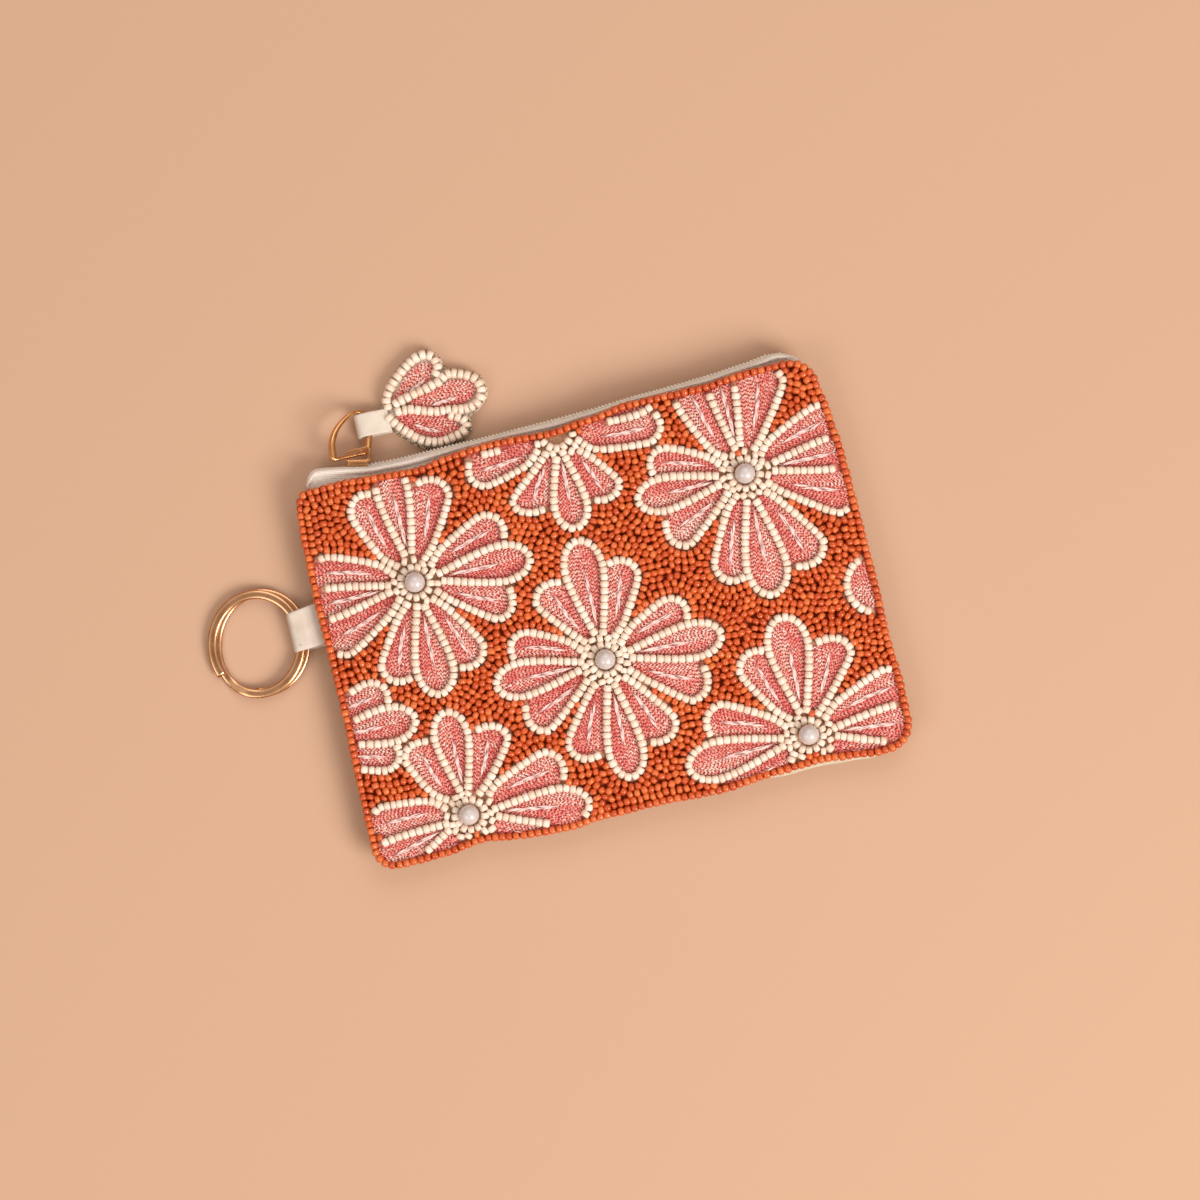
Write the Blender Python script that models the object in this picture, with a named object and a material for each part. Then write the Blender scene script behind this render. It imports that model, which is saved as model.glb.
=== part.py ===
"""Beaded zip pouch, lying on its back, with a key ring tab and a beaded charm on the zip pull.

Metres, +Z up. X runs along the pouch's width, Y from its base towards the zip. The origin
is on the flat underside of the back panel, at the middle of the pouch.
"""
import math

import bmesh
import bpy
import numpy as np
from mathutils import Matrix, Vector

# The pouch's face, as its bead field lies
FACE_WIDTH = 0.1375
FACE_HEIGHT = 0.0997
BASE_SPREAD = 0.0021
TOP_RISE = 0.0039
EDGE_WAVE = 0.0019
CORNER_TOP_LEFT = 0.0030
CORNER_TOP_RIGHT = 0.0070
CORNER_BASE_RIGHT = 0.0065
CORNER_BASE_LEFT = 0.0055

# Walls and the clearance between pieces that touch
CLOTH = 0.0012
BEAD_CRUST = 0.0021
CLOTH_INSET = 0.0008
GAP = 0.0003

# Heights above the surface that the pouch lies on
SEAM_HEIGHT = 0.0050
FACE_RISE = 0.0034
ZIP_LIFT = 0.0019
ZIP_DROP = 0.0026
ZIP_MOUTH_RUN = 0.0090
BACK_RISE_BAND = 0.0140
DENT_DEPTH = 0.0008

# The back panel's edge, set in from the bead field's edge, or out where negative
BACK_INSET_LEFT = 0.0022
BACK_INSET_RIGHT = 0.0008
BACK_INSET_TOP = 0.0008
BACK_INSET_BASE = 0.0006
BACK_LIP = 0.0022

# Pearls sewn at the flowers' middles
PEARL_DIAMETER = 0.0051

# Zip: two woven tapes, the coil chain between them, and the slider
ZIP_LEFT_INSET = 0.0034
ZIP_RIGHT_INSET = 0.0049
ZIP_REACH = 0.0053
TAPE = 0.0007
TAPE_TUCK = 0.0040
TAPE_SHORT = 0.0011
TAPE_BULGE = 0.0005
CHAIN_DEPTH = 0.0018
CHAIN_TALL = 0.0020
CHAIN_END_INSET = 0.0030
SLIDER_FROM_END = 0.0137
SLIDER_LENGTH = 0.0056
SLIDER_TALL = 0.0048
SLIDER_INNER_TALL = 0.0022
SLIDER_PLATE = 0.0006
SLIDER_WEDGE = 0.0010
SLIDER_LIP = 0.0006
BRIDGE_WIDE = 0.0006
BRIDGE_THICK = 0.0007
BRIDGE_LOW = 0.0018
BRIDGE_HIGH = 0.0028

# Pull ring: a flat sided wire bent to a D, leaning down to the right
PULL_REACH = 0.0129
PULL_WIRE_WIDE = 0.0011
PULL_WIRE_DEEP = 0.0013
PULL_LEAN_SLOPE = 0.50

# Charm: a three petalled lobe on a felt backing, on a folded leather strap.
# The charm's base and the strap's middle are set out from the slider's middle.
CHARM_LENGTH = 0.0273
CHARM_FROM_SLIDER_X = 0.0083
CHARM_FROM_SLIDER_Y = 0.0108
CHARM_FELT = 0.0009
CHARM_CRUST = 0.0030
CHARM_RIM_SHARE = 0.93
STRAP_LEATHER = 0.0008
STRAP_WIDTH = 0.0061
STRAP_FROM_SLIDER_Y = 0.0091
STRAP_TUCK = 0.0018
STRAP_FOLD = 0.0037

# Key ring and the folded leather tab that holds it in the left seam
RING_DIAMETER = 0.0268
RING_WIRE_WIDE = 0.0023
RING_WIRE_TALL = 0.0022
RING_FROM_SEAM = 0.0023
TAB_LEATHER = 0.00105
TAB_WIDTH = 0.0107
TAB_MIDDLE_Y = 0.0144
TAB_FOLD = 0.0036
RING_BELOW_TAB = 0.0012

FLOOR_CLEAR = 0.00005

# Waves of the four edges: share of the way along, outward bow as a share of EDGE_WAVE.
# The base and top run left to right, the sides from the base up.
EDGE_ROWS = {
    "base": ((0.0, 0.0), (0.06, 0.08), (0.13, -0.05), (0.167, -0.50), (0.203, -0.76),
             (0.239, -0.32), (0.31, 0.21), (0.364, 0.34), (0.418, -0.05), (0.525, -0.18),
             (0.633, 0.21), (0.74, -0.39), (0.83, -0.63), (0.883, -0.24), (0.919, 0.21), (1.0, 0.0)),
    "top": ((0.0, 0.0), (0.09, -0.05), (0.16, -0.53), (0.235, -1.0), (0.31, -0.37), (0.38, -0.26),
            (0.46, -0.63), (0.49, -0.90), (0.565, -0.50), (0.64, 0.05), (0.72, -0.10),
            (0.79, -0.30), (0.86, 0.05), (1.0, 0.0)),
    "left": ((0.0, 0.0), (0.2, 0.05), (0.4, 0.0), (0.55, 0.12), (0.72, 0.50), (0.88, 0.42), (1.0, 0.0)),
    "right": ((0.0, 0.0), (0.17, 0.25), (0.27, 0.0), (0.42, 0.28), (0.6, 0.30), (0.75, 0.30),
              (0.83, 0.05), (0.93, -0.65), (1.0, -0.80)),
}

# The back panel's cut edge shows below the beads near the right of the base:
# share of the way along the base, outward bow as a share of BACK_LIP
BACK_LIP_ROWS = ((0.0, 0.0), (0.68, 0.0), (0.76, 0.55), (0.83, 0.62), (0.90, 0.45), (0.96, 0.0), (1.0, 0.0))

# Height of the zip's crest above the line between the top corners:
# share of the way along the zip, height as a share of ZIP_REACH
ZIP_ROWS = (
    (0.0, 0.45), (0.010, 0.83), (0.026, 1.0), (0.073, 0.79), (0.128, 0.49), (0.191, 0.38),
    (0.27, 0.36), (0.349, 0.30), (0.427, 0.28), (0.506, 0.26), (0.585, 0.27), (0.663, 0.34),
    (0.742, 0.34), (0.821, 0.38), (0.899, 0.49), (0.962, 0.64), (0.988, 0.40), (1.0, 0.20),
)

# More places where the tapes are shaped, as shares of the way along the zip
TAPE_STATIONS = (0.16, 0.23, 0.31, 0.388, 0.466, 0.546, 0.624, 0.70, 0.78, 0.86, 0.93)

# Shallow dents of the soft face: middle across and up as shares of the half width and half
# height, radius as a share of the half height, depth as a share of DENT_DEPTH
DENT_ROWS = (
    (-0.55, 0.72, 0.34, 1.0),
    (0.02, 0.80, 0.30, 0.7),
    (0.46, -0.62, 0.36, 0.6),
    (-0.35, -0.30, 0.40, 0.5),
    (0.74, 0.28, 0.34, -0.4),
)

# Pearls: middle across and up, as shares of the half width and the half height
PEARL_ROWS = (
    (-0.631, 0.381),
    (-0.022, -0.217),
    (0.629, 0.528),
    (-0.636, -0.818),
    (0.636, -0.822),
)

# The charm's felt edge, round from its base: along and across, as shares of CHARM_LENGTH
CHARM_ROWS = (
    (0.000, 0.010), (0.037, 0.092), (0.110, 0.245), (0.267, 0.392), (0.440, 0.473), (0.575, 0.465),
    (0.648, 0.374), (0.685, 0.260), (0.806, 0.231), (0.941, 0.168), (1.000, 0.055), (0.989, -0.062),
    (0.897, -0.150), (0.795, -0.209), (0.784, -0.311), (0.685, -0.392), (0.505, -0.414),
    (0.330, -0.399), (0.187, -0.289), (0.062, -0.135),
)

# The charm's domed front: share of the rim's outline, share of CHARM_CRUST
CHARM_DOME_ROWS = ((1.0, 0.0), (1.0, 0.6), (0.93, 0.9), (0.75, 1.0))

# The pull ring's centre line, seen from above: across and away from the slider's middle,
# as shares of PULL_REACH
PULL_ROUTE = (
    (-0.450, 0.163), (-0.457, 0.264), (-0.426, 0.465), (-0.326, 0.667), (-0.155, 0.837),
    (0.062, 0.969), (0.248, 1.000), (0.380, 0.922), (0.419, 0.744), (0.372, 0.481),
    (0.287, 0.233), (0.233, 0.163), (0.078, 0.163), (-0.233, 0.163),
)

COLUMNS = 28
ROWS = 18


def smooth_table(rows, place):
    """Read a two column table at place, easing from each row to the next along a half cosine."""
    shares = np.array([row[0] for row in rows])
    values = np.array([row[1] for row in rows])
    place = np.clip(place, 0.0, 1.0)
    index = np.clip(np.searchsorted(shares, place, side="right") - 1, 0, len(rows) - 2)
    part = (place - shares[index]) / (shares[index + 1] - shares[index])
    ease = (1.0 - np.cos(np.pi * part)) / 2.0
    return values[index] + (values[index + 1] - values[index]) * ease


def smooth_loop(points, steps):
    """A closed Catmull-Rom curve through points, with steps points to each span."""
    points = np.asarray(points, dtype=float)
    before = np.roll(points, 1, axis=0)
    after = np.roll(points, -1, axis=0)
    later = np.roll(points, -2, axis=0)
    spans = []
    for step in range(steps):
        t = step / steps
        spans.append(0.5 * (2.0 * points + (after - before) * t
                            + (2.0 * before - 5.0 * points + 4.0 * after - later) * t ** 2
                            + (3.0 * points - before - 3.0 * after + later) * t ** 3))
    return np.stack(spans, axis=1).reshape(-1, points.shape[1])


def smooth_line(points, steps):
    """An open Catmull-Rom curve through points, ending on the last one."""
    points = np.asarray(points, dtype=float)
    padded = np.vstack((2.0 * points[0] - points[1], points, 2.0 * points[-1] - points[-2]))
    result = []
    for index in range(1, len(padded) - 2):
        p0, p1, p2, p3 = padded[index - 1:index + 3]
        for step in range(steps):
            t = step / steps
            result.append(0.5 * (2.0 * p1 + (p2 - p0) * t + (2.0 * p0 - 5.0 * p1 + 4.0 * p2 - p3) * t ** 2
                                 + (3.0 * p1 - p0 - 3.0 * p2 + p3) * t ** 3))
    result.append(points[-1])
    return np.array(result)


def face_corners():
    """The four corners where the straight edge lines of the bead field would meet."""
    half_base = (FACE_WIDTH + BASE_SPREAD) / 2.0
    half_top = (FACE_WIDTH - BASE_SPREAD) / 2.0
    base = -FACE_HEIGHT / 2.0
    top = FACE_HEIGHT / 2.0
    return {
        "base_left": np.array((-half_base, base)),
        "base_right": np.array((half_base, base)),
        "top_left": np.array((-half_top, top - TOP_RISE / 2.0)),
        "top_right": np.array((half_top, top + TOP_RISE / 2.0)),
    }


CORNER_RADII = {
    "base_left": CORNER_BASE_LEFT,
    "base_right": CORNER_BASE_RIGHT,
    "top_left": CORNER_TOP_LEFT,
    "top_right": CORNER_TOP_RIGHT,
}

# Each edge: the corners that it runs between, and the way out of the pouch
EDGE_ENDS = {
    "base": ("base_left", "base_right", (0.0, -1.0)),
    "top": ("top_left", "top_right", (0.0, 1.0)),
    "left": ("base_left", "top_left", (-1.0, 0.0)),
    "right": ("base_right", "top_right", (1.0, 0.0)),
}

NO_INSETS = dict.fromkeys(EDGE_ENDS, 0.0)

BACK_INSETS = {
    "base": BACK_INSET_BASE,
    "top": BACK_INSET_TOP,
    "left": BACK_INSET_LEFT,
    "right": BACK_INSET_RIGHT,
}


def edge_curve(name, share, insets):
    """Points along one edge, with the waves, half of each corner's arc, and the inset."""
    start_name, end_name, outward = EDGE_ENDS[name]
    corners = face_corners()
    start = corners[start_name]
    end = corners[end_name]
    length = np.linalg.norm(end - start)
    direction = (end - start) / length
    outward = np.array(outward)
    start_radius = CORNER_RADII[start_name]
    end_radius = CORNER_RADII[end_name]
    half_arc = 1.0 - math.sqrt(0.5)
    along = half_arc * start_radius + share * (length - half_arc * (start_radius + end_radius))
    turn_start = np.clip(start_radius - along, 0.0, start_radius)
    turn_end = np.clip(end_radius - (length - along), 0.0, end_radius)
    rounding = start_radius - np.sqrt(start_radius ** 2 - turn_start ** 2)
    rounding += end_radius - np.sqrt(end_radius ** 2 - turn_end ** 2)
    bow = EDGE_WAVE * smooth_table(EDGE_ROWS[name], along / length) - rounding - insets[name]
    if name == "base" and insets is BACK_INSETS:
        bow += BACK_LIP * smooth_table(BACK_LIP_ROWS, along / length)
    points = start + direction * along[:, None] + outward * bow[:, None]
    side_in = {"base": ("left", "right"), "top": ("left", "right"),
               "left": ("base", "top"), "right": ("base", "top")}[name]
    sideways = insets[side_in[0]] * (1.0 - share) - insets[side_in[1]] * share
    return points + direction * sideways[:, None]


def grid_shares(count):
    """Shares from 0 to 1, closer together near both ends."""
    even = np.arange(count + 1) / count
    return 0.5 * even + 0.5 * (1.0 - np.cos(np.pi * even)) / 2.0


def face_grid(insets):
    """A net of points over the pouch, blended from its four edges, as a Coons patch."""
    across = grid_shares(COLUMNS)
    up = grid_shares(ROWS)
    base = edge_curve("base", across, insets)
    top = edge_curve("top", across, insets)
    left = edge_curve("left", up, insets)
    right = edge_curve("right", up, insets)
    s = across[None, :, None]
    t = up[:, None, None]
    ruled_up = base[None] * (1.0 - t) + top[None] * t
    ruled_across = left[:, None] * (1.0 - s) + right[:, None] * s
    corners = ((base[0] * (1.0 - s) + base[-1] * s) * (1.0 - t)
               + (top[0] * (1.0 - s) + top[-1] * s) * t)
    return ruled_up + ruled_across - corners, across, up


def ease_step(value):
    """Rise smoothly from 0 to 1 as value goes from 0 to 1."""
    value = np.clip(value, 0.0, 1.0)
    return value * value * (3.0 - 2.0 * value)


def mouth_opening(x):
    """How far the two panels part for the zip, from 0 at the side seams to 1 along the zip."""
    corners = face_corners()
    from_left = x - corners["top_left"][0]
    from_right = corners["top_right"][0] - x
    nearest = np.clip(np.minimum(from_left, from_right) / ZIP_MOUTH_RUN, 0.0, 1.0)
    return np.sin(0.5 * np.pi * nearest)


def face_height(points, s, t):
    """The underside of the front cloth: seam height, the zip's lift, the puff and the dents."""
    puff = ((1.0 - np.abs(2.0 * s - 1.0) ** 2.6) * (1.0 - np.abs(2.0 * t - 1.0) ** 2.6)) ** 0.62
    lift = ZIP_LIFT * mouth_opening(points[..., 0]) * ease_step((t - 0.8) / 0.2)
    height = SEAM_HEIGHT + GAP / 2.0 + lift + FACE_RISE * puff
    half_width = FACE_WIDTH / 2.0
    half_height = FACE_HEIGHT / 2.0
    for across, up, radius, depth in DENT_ROWS:
        away = np.hypot(points[..., 0] - across * half_width, points[..., 1] - up * half_height)
        height = height - DENT_DEPTH * depth * puff * np.exp(-(away / (radius * half_height)) ** 2)
    return height


def back_height(points, s, t):
    """The underside of the back cloth: flat in the middle, rising to the seam near its edges."""
    opening = mouth_opening(points[..., 0]) * ease_step((t - 0.8) / 0.2)
    edge = SEAM_HEIGHT - GAP / 2.0 - CLOTH - ZIP_DROP * opening
    from_side = np.minimum(s, 1.0 - s) * FACE_WIDTH
    from_end = np.minimum(t, 1.0 - t) * FACE_HEIGHT
    side_share = 1.0 - ease_step(from_side / BACK_RISE_BAND)
    end_share = 1.0 - ease_step(from_end / BACK_RISE_BAND)
    share = 1.0 - (1.0 - side_share) * (1.0 - end_share)
    return edge * share


def make_object(name, vertices, faces, material):
    """A mesh object with its faces pointing out."""
    mesh = bpy.data.meshes.new(name)
    mesh.from_pydata([tuple(vertex) for vertex in vertices], [], [tuple(face) for face in faces])
    work = bmesh.new()
    work.from_mesh(mesh)
    bmesh.ops.recalc_face_normals(work, faces=work.faces)
    work.to_mesh(mesh)
    work.free()
    mesh.materials.append(material)
    thing = bpy.data.objects.new(name, mesh)
    bpy.context.scene.collection.objects.link(thing)
    return thing


def make_material(name, colour, roughness, metallic=0.0):
    """A plain Principled material."""
    material = bpy.data.materials.new(name)
    material.use_nodes = True
    shader = material.node_tree.nodes["Principled BSDF"]
    shader.inputs["Base Color"].default_value = (*colour, 1.0)
    shader.inputs["Roughness"].default_value = roughness
    shader.inputs["Metallic"].default_value = metallic
    material.diffuse_color = (*colour, 1.0)
    return material


def shell(name, plan, low, high, material):
    """A closed sheet over a net of points, between its low and high surfaces."""
    rows, columns = low.shape
    under = np.dstack((plan, low)).reshape(-1, 3)
    over = np.dstack((plan, high)).reshape(-1, 3)
    count = rows * columns
    faces = []
    for row in range(rows - 1):
        for column in range(columns - 1):
            first = row * columns + column
            quad = (first, first + 1, first + columns + 1, first + columns)
            faces.append(tuple(count + index for index in quad))
            faces.append(quad[::-1])
    rim = list(range(columns))
    rim += [row * columns + columns - 1 for row in range(1, rows)]
    rim += [(rows - 1) * columns + column for column in range(columns - 2, -1, -1)]
    rim += [row * columns for row in range(rows - 2, 0, -1)]
    for here, there in zip(rim, rim[1:] + rim[:1]):
        faces.append((here, there, count + there, count + here))
    return make_object(name, np.vstack((under, over)), faces, material)


def loft(name, sections, material, closed=False):
    """Skin a row of rings with the same number of points, with end caps or joined in a loop."""
    sections = np.asarray(sections, dtype=float)
    stations, points, _ = sections.shape
    faces = []
    last = stations if closed else stations - 1
    for station in range(last):
        following = (station + 1) % stations
        for point in range(points):
            beside = (point + 1) % points
            faces.append((station * points + point, station * points + beside,
                          following * points + beside, following * points + point))
    if not closed:
        faces.append(tuple(range(points)))
        faces.append(tuple(range((stations - 1) * points, stations * points))[::-1])
    return make_object(name, sections.reshape(-1, 3), faces, material)


def folded_strip(name, route, thickness, start_y, end_y, material):
    """A leather strip: its side view is a line of constant thickness, carried across its width."""
    line = smooth_line(route, 3)
    direction = np.gradient(line, axis=0)
    direction /= np.linalg.norm(direction, axis=1)[:, None]
    normal = np.column_stack((-direction[:, 1], direction[:, 0]))
    outline = np.vstack((line + normal * thickness / 2.0, (line - normal * thickness / 2.0)[::-1]))
    rings = []
    for y in (start_y, end_y):
        rings.append(np.column_stack((outline[:, 0], np.full(len(outline), y), outline[:, 1])))
    return loft(name, rings, material)


def box(name, low, high, material):
    """A plain block between two corners."""
    x = (low[0], high[0])
    y = (low[1], high[1])
    z = (low[2], high[2])
    ring = ((x[0], y[0]), (x[1], y[0]), (x[1], y[1]), (x[0], y[1]))
    return loft(name, [[(px, py, level) for px, py in ring] for level in z], material)


def cut_or_join(target, tool, operation):
    """Use tool on target by an exact Boolean, and keep the tool out of the model."""
    tool.hide_render = True
    tool.display_type = "WIRE"
    modifier = target.modifiers.new(tool.name, "BOOLEAN")
    modifier.object = tool
    modifier.operation = operation
    modifier.solver = "EXACT"


def shade_round(thing, degrees=40.0):
    """Smooth shading, with edges sharper than the angle left crisp."""
    thing.data.shade_smooth()
    thing.data.set_sharp_from_angle(angle=math.radians(degrees))


# Panels and bead field

def pearl_places():
    """Where each pearl sits on the face, and the height of the cloth's top there."""
    plan, across, up = face_grid(NO_INSETS)
    s, t = np.meshgrid(across, up)
    top = face_height(plan, s, t) + CLOTH
    places = []
    for share_across, share_up in PEARL_ROWS:
        x = share_across * FACE_WIDTH / 2.0
        y = share_up * FACE_HEIGHT / 2.0
        away = np.hypot(plan[..., 0] - x, plan[..., 1] - y)
        near = away < 2.0 * PEARL_DIAMETER
        places.append((x, y, top[near].max() if near.any() else top.max()))
    return places


def make_panels():
    """Front cloth, its bead field with a socket under each pearl, and the back cloth."""
    canvas = make_material("cotton_canvas", (0.78, 0.70, 0.58), 0.9)
    beads = make_material("glass_seed_beads", (0.70, 0.12, 0.03), 0.25)
    cloth_insets = dict.fromkeys(EDGE_ENDS, CLOTH_INSET)
    plan, across, up = face_grid(cloth_insets)
    s, t = np.meshgrid(across, up)
    low = face_height(plan, s, t)
    front = shell("front_panel", plan, low, low + CLOTH, canvas)
    shade_round(front)
    plan, across, up = face_grid(BACK_INSETS)
    low = back_height(plan, s, t)
    back = shell("back_panel", plan, low, low + CLOTH, canvas.copy())
    shade_round(back)
    plan, across, up = face_grid(NO_INSETS)
    low = face_height(plan, s, t) + CLOTH + GAP
    field = shell("bead_field", plan, low, low + BEAD_CRUST, beads)
    for number, (x, y, level) in enumerate(pearl_places(), start=1):
        radius = PEARL_DIAMETER / 2.0 + GAP
        ring = [(x + radius * math.cos(turn), y + radius * math.sin(turn))
                for turn in (2.0 * math.pi * step / 16 for step in range(16))]
        levels = (level - 2.0 * BEAD_CRUST, level + 3.0 * BEAD_CRUST)
        tool = loft(f"pearl_socket_{number}", [[(px, py, z) for px, py in ring] for z in levels], beads)
        cut_or_join(field, tool, "DIFFERENCE")
    shade_round(field)


def make_pearls():
    """Round pearls, each resting on the front cloth in its socket."""
    for number, (x, y, level) in enumerate(pearl_places(), start=1):
        pearl = make_material(f"pearl_coat_{number}", (0.90, 0.85, 0.78), 0.2)
        radius = PEARL_DIAMETER / 2.0
        work = bmesh.new()
        bmesh.ops.create_uvsphere(work, u_segments=16, v_segments=8, radius=radius)
        bmesh.ops.translate(work, vec=(x, y, level + GAP + radius), verts=work.verts)
        mesh = bpy.data.meshes.new(f"pearl_{number}")
        work.to_mesh(mesh)
        work.free()
        mesh.materials.append(pearl)
        thing = bpy.data.objects.new(f"pearl_{number}", mesh)
        bpy.context.scene.collection.objects.link(thing)
        mesh.shade_smooth()


# Zip

def top_line(x):
    """Height of the straight line between the two top corners."""
    corners = face_corners()
    start = corners["top_left"]
    end = corners["top_right"]
    return start[1] + (end[1] - start[1]) * (x - start[0]) / (end[0] - start[0])


def bead_edge(x):
    """Height of the bead field's top edge."""
    points = edge_curve("top", np.linspace(0.0, 1.0, 400), NO_INSETS)
    return np.interp(x, points[:, 0], points[:, 1])


def zip_ends():
    """Where the zip starts and stops along the width."""
    corners = face_corners()
    return corners["top_left"][0] + ZIP_LEFT_INSET, corners["top_right"][0] - ZIP_RIGHT_INSET


def zip_crest(x):
    """Height of the zip's outer face."""
    start, end = zip_ends()
    return top_line(x) + ZIP_REACH * smooth_table(ZIP_ROWS, (x - start) / (end - start))


def zip_middle():
    """Height of the chain's middle above the surface that the pouch lies on."""
    front_low = SEAM_HEIGHT + GAP / 2.0 + ZIP_LIFT - GAP - TAPE
    back_high = SEAM_HEIGHT - GAP / 2.0 - ZIP_DROP + GAP + TAPE
    return (front_low + back_high) / 2.0


def tape_rings(side):
    """Rings of one tape. It starts under its panel and runs out over the chain's side."""
    start, end = zip_ends()
    shares = sorted({row[0] for row in ZIP_ROWS} | set(TAPE_STATIONS))
    rings = []
    for share in shares:
        x = np.array(start + (end - start) * share)
        opening = float(mouth_opening(x))
        edge = float(bead_edge(x))
        crest = float(zip_crest(x)) - TAPE_SHORT
        if side > 0:
            outer = SEAM_HEIGHT + GAP / 2.0 + ZIP_LIFT * opening - GAP
        else:
            outer = SEAM_HEIGHT - GAP / 2.0 - ZIP_DROP * opening + GAP
        bulge = side * TAPE_BULGE * opening
        inner = -side * TAPE
        tip = max(crest, edge + GAP)
        profile = (
            (edge - TAPE_TUCK, outer), (edge, outer), ((edge + tip) / 2.0, outer + 0.8 * bulge),
            (tip, outer + bulge), (tip, outer + bulge + inner),
            ((edge + tip) / 2.0, outer + 0.8 * bulge + inner), (edge, outer + inner),
            (edge - TAPE_TUCK, outer + inner),
        )
        rings.append([(float(x), y, z) for y, z in profile])
    return rings


def slider_frame():
    """The slider's middle on the zip's outer face, the way along the zip, and the way out of it."""
    start, _ = zip_ends()
    x = start + SLIDER_FROM_END
    reach = SLIDER_LENGTH / 2.0
    before = float(zip_crest(np.array(x - reach)))
    after = float(zip_crest(np.array(x + reach)))
    along = Vector((2.0 * reach, after - before, 0.0)).normalized()
    out = Vector((-along.y, along.x, 0.0))
    middle = Vector((x, float(zip_crest(np.array(x))), zip_middle()))
    return middle, along, out


def place_on_slider(thing):
    """Turn and move a piece modelled at the origin onto the slider."""
    middle, along, out = slider_frame()
    turn = Matrix((
        (along.x, out.x, 0.0, middle.x),
        (along.y, out.y, 0.0, middle.y),
        (0.0, 0.0, 1.0, middle.z),
        (0.0, 0.0, 0.0, 1.0),
    ))
    thing.data.transform(turn)


def make_zip():
    """Tapes, coil chain and slider."""
    woven = make_material("woven_tape", (0.82, 0.76, 0.67), 0.9)
    nylon = make_material("nylon_coil", (0.80, 0.74, 0.66), 0.5)
    loft("zip_tape_front", tape_rings(1.0), woven)
    loft("zip_tape_back", tape_rings(-1.0), woven.copy())
    start, end = zip_ends()
    first = start + SLIDER_FROM_END - SLIDER_LENGTH / 2.0 + SLIDER_WEDGE + GAP
    rings = []
    half = CHAIN_TALL / 2.0
    corner = CHAIN_TALL / 6.0
    middle = zip_middle()
    for x in np.linspace(first, end - CHAIN_END_INSET, 26):
        crest = float(zip_crest(x))
        root = crest - CHAIN_DEPTH
        profile = ((crest, -half + corner), (crest, half - corner), (crest - corner, half),
                   (root, half), (root, -half), (crest - corner, -half))
        rings.append([(x, y, middle + z) for y, z in profile])
    loft("zip_chain", rings, nylon)
    make_slider()


def make_slider():
    """Two plates round the chain, a wedge, lips over the tapes and the bridge for the pull."""
    brass = make_material("gilt_slider", (0.62, 0.36, 0.20), 0.25, 1.0)
    half = SLIDER_LENGTH / 2.0
    tall = SLIDER_TALL / 2.0
    outer = GAP + SLIDER_PLATE
    inner = -CHAIN_DEPTH - GAP - SLIDER_PLATE
    lap = SLIDER_PLATE / 2.0
    plate = box("zip_slider", (-half, GAP, -tall), (half, outer, tall), brass)
    bottom = box("slider_inner_plate", (-half, inner, -SLIDER_INNER_TALL / 2.0),
                 (half, inner + SLIDER_PLATE, SLIDER_INNER_TALL / 2.0), brass)
    wedge = box("slider_wedge", (-half + lap, inner + lap, -SLIDER_INNER_TALL / 3.0),
                (-half + SLIDER_WEDGE, outer - lap, SLIDER_INNER_TALL / 3.0), brass)
    parts = [bottom, wedge]
    for side in (-1.0, 1.0):
        levels = sorted((side * (tall - SLIDER_LIP), side * (tall + lap)))
        parts.append(box(f"slider_lip_{'low' if side < 0 else 'high'}", (-half + lap, -SLIDER_LIP, levels[0]),
                         (half - lap, outer - lap, levels[1]), brass))
    window = half - BRIDGE_THICK + lap
    rise_left = outer + BRIDGE_LOW
    rise_right = outer + BRIDGE_HIGH
    outline = (
        (-window - BRIDGE_THICK, outer - lap), (-window - BRIDGE_THICK, rise_left),
        (-window, rise_left + BRIDGE_THICK), (window, rise_right + BRIDGE_THICK),
        (window + BRIDGE_THICK, rise_right), (window + BRIDGE_THICK, outer - lap),
        (window, outer - lap), (window, rise_right), (-window, rise_left), (-window, outer - lap),
    )
    levels = (-BRIDGE_WIDE / 2.0, BRIDGE_WIDE / 2.0)
    parts.append(loft("slider_bridge", [[(a, n, z) for a, n in outline] for z in levels], brass))
    foot = box("slider_foot", (window - lap, GAP + lap / 2.0, -BRIDGE_WIDE / 2.0),
               (window + BRIDGE_THICK, outer + lap, BRIDGE_WIDE / 2.0), brass)
    parts.append(foot)
    for part in parts:
        place_on_slider(part)
        cut_or_join(plate, part, "UNION")
    place_on_slider(plate)


# Pull ring, strap and charm

def make_pull_ring():
    """A D of flat sided wire through the bridge. Its plane leans down towards the strap."""
    brass = make_material("gilt_wire", (0.72, 0.44, 0.24), 0.2, 1.0)
    middle, _, _ = slider_frame()
    plan = smooth_loop(PULL_ROUTE, 3) * PULL_REACH
    line = np.column_stack((plan, -PULL_LEAN_SLOPE * plan[:, 0])) + np.array(middle)
    ahead = np.roll(line, -1, axis=0) - np.roll(line, 1, axis=0)
    ahead /= np.linalg.norm(ahead, axis=1)[:, None]
    face = np.array((PULL_LEAN_SLOPE, 0.0, 1.0)) / math.hypot(PULL_LEAN_SLOPE, 1.0)
    beside = np.cross(ahead, face)
    beside /= np.linalg.norm(beside, axis=1)[:, None]
    turns = np.arange(8) * math.pi / 4.0 + math.pi / 8.0
    rings = (line[:, None] + beside[:, None] * (np.cos(turns)[None, :, None] * PULL_WIRE_WIDE / 2.0)
             + face * (np.sin(turns)[None, :, None] * PULL_WIRE_DEEP / 2.0))
    ring = loft("pull_ring", rings, brass, closed=True)
    shade_round(ring, 60.0)


def charm_base():
    """Where the charm's outline starts, at the strap."""
    middle, _, _ = slider_frame()
    return middle.x + CHARM_FROM_SLIDER_X, middle.y + CHARM_FROM_SLIDER_Y


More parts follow.
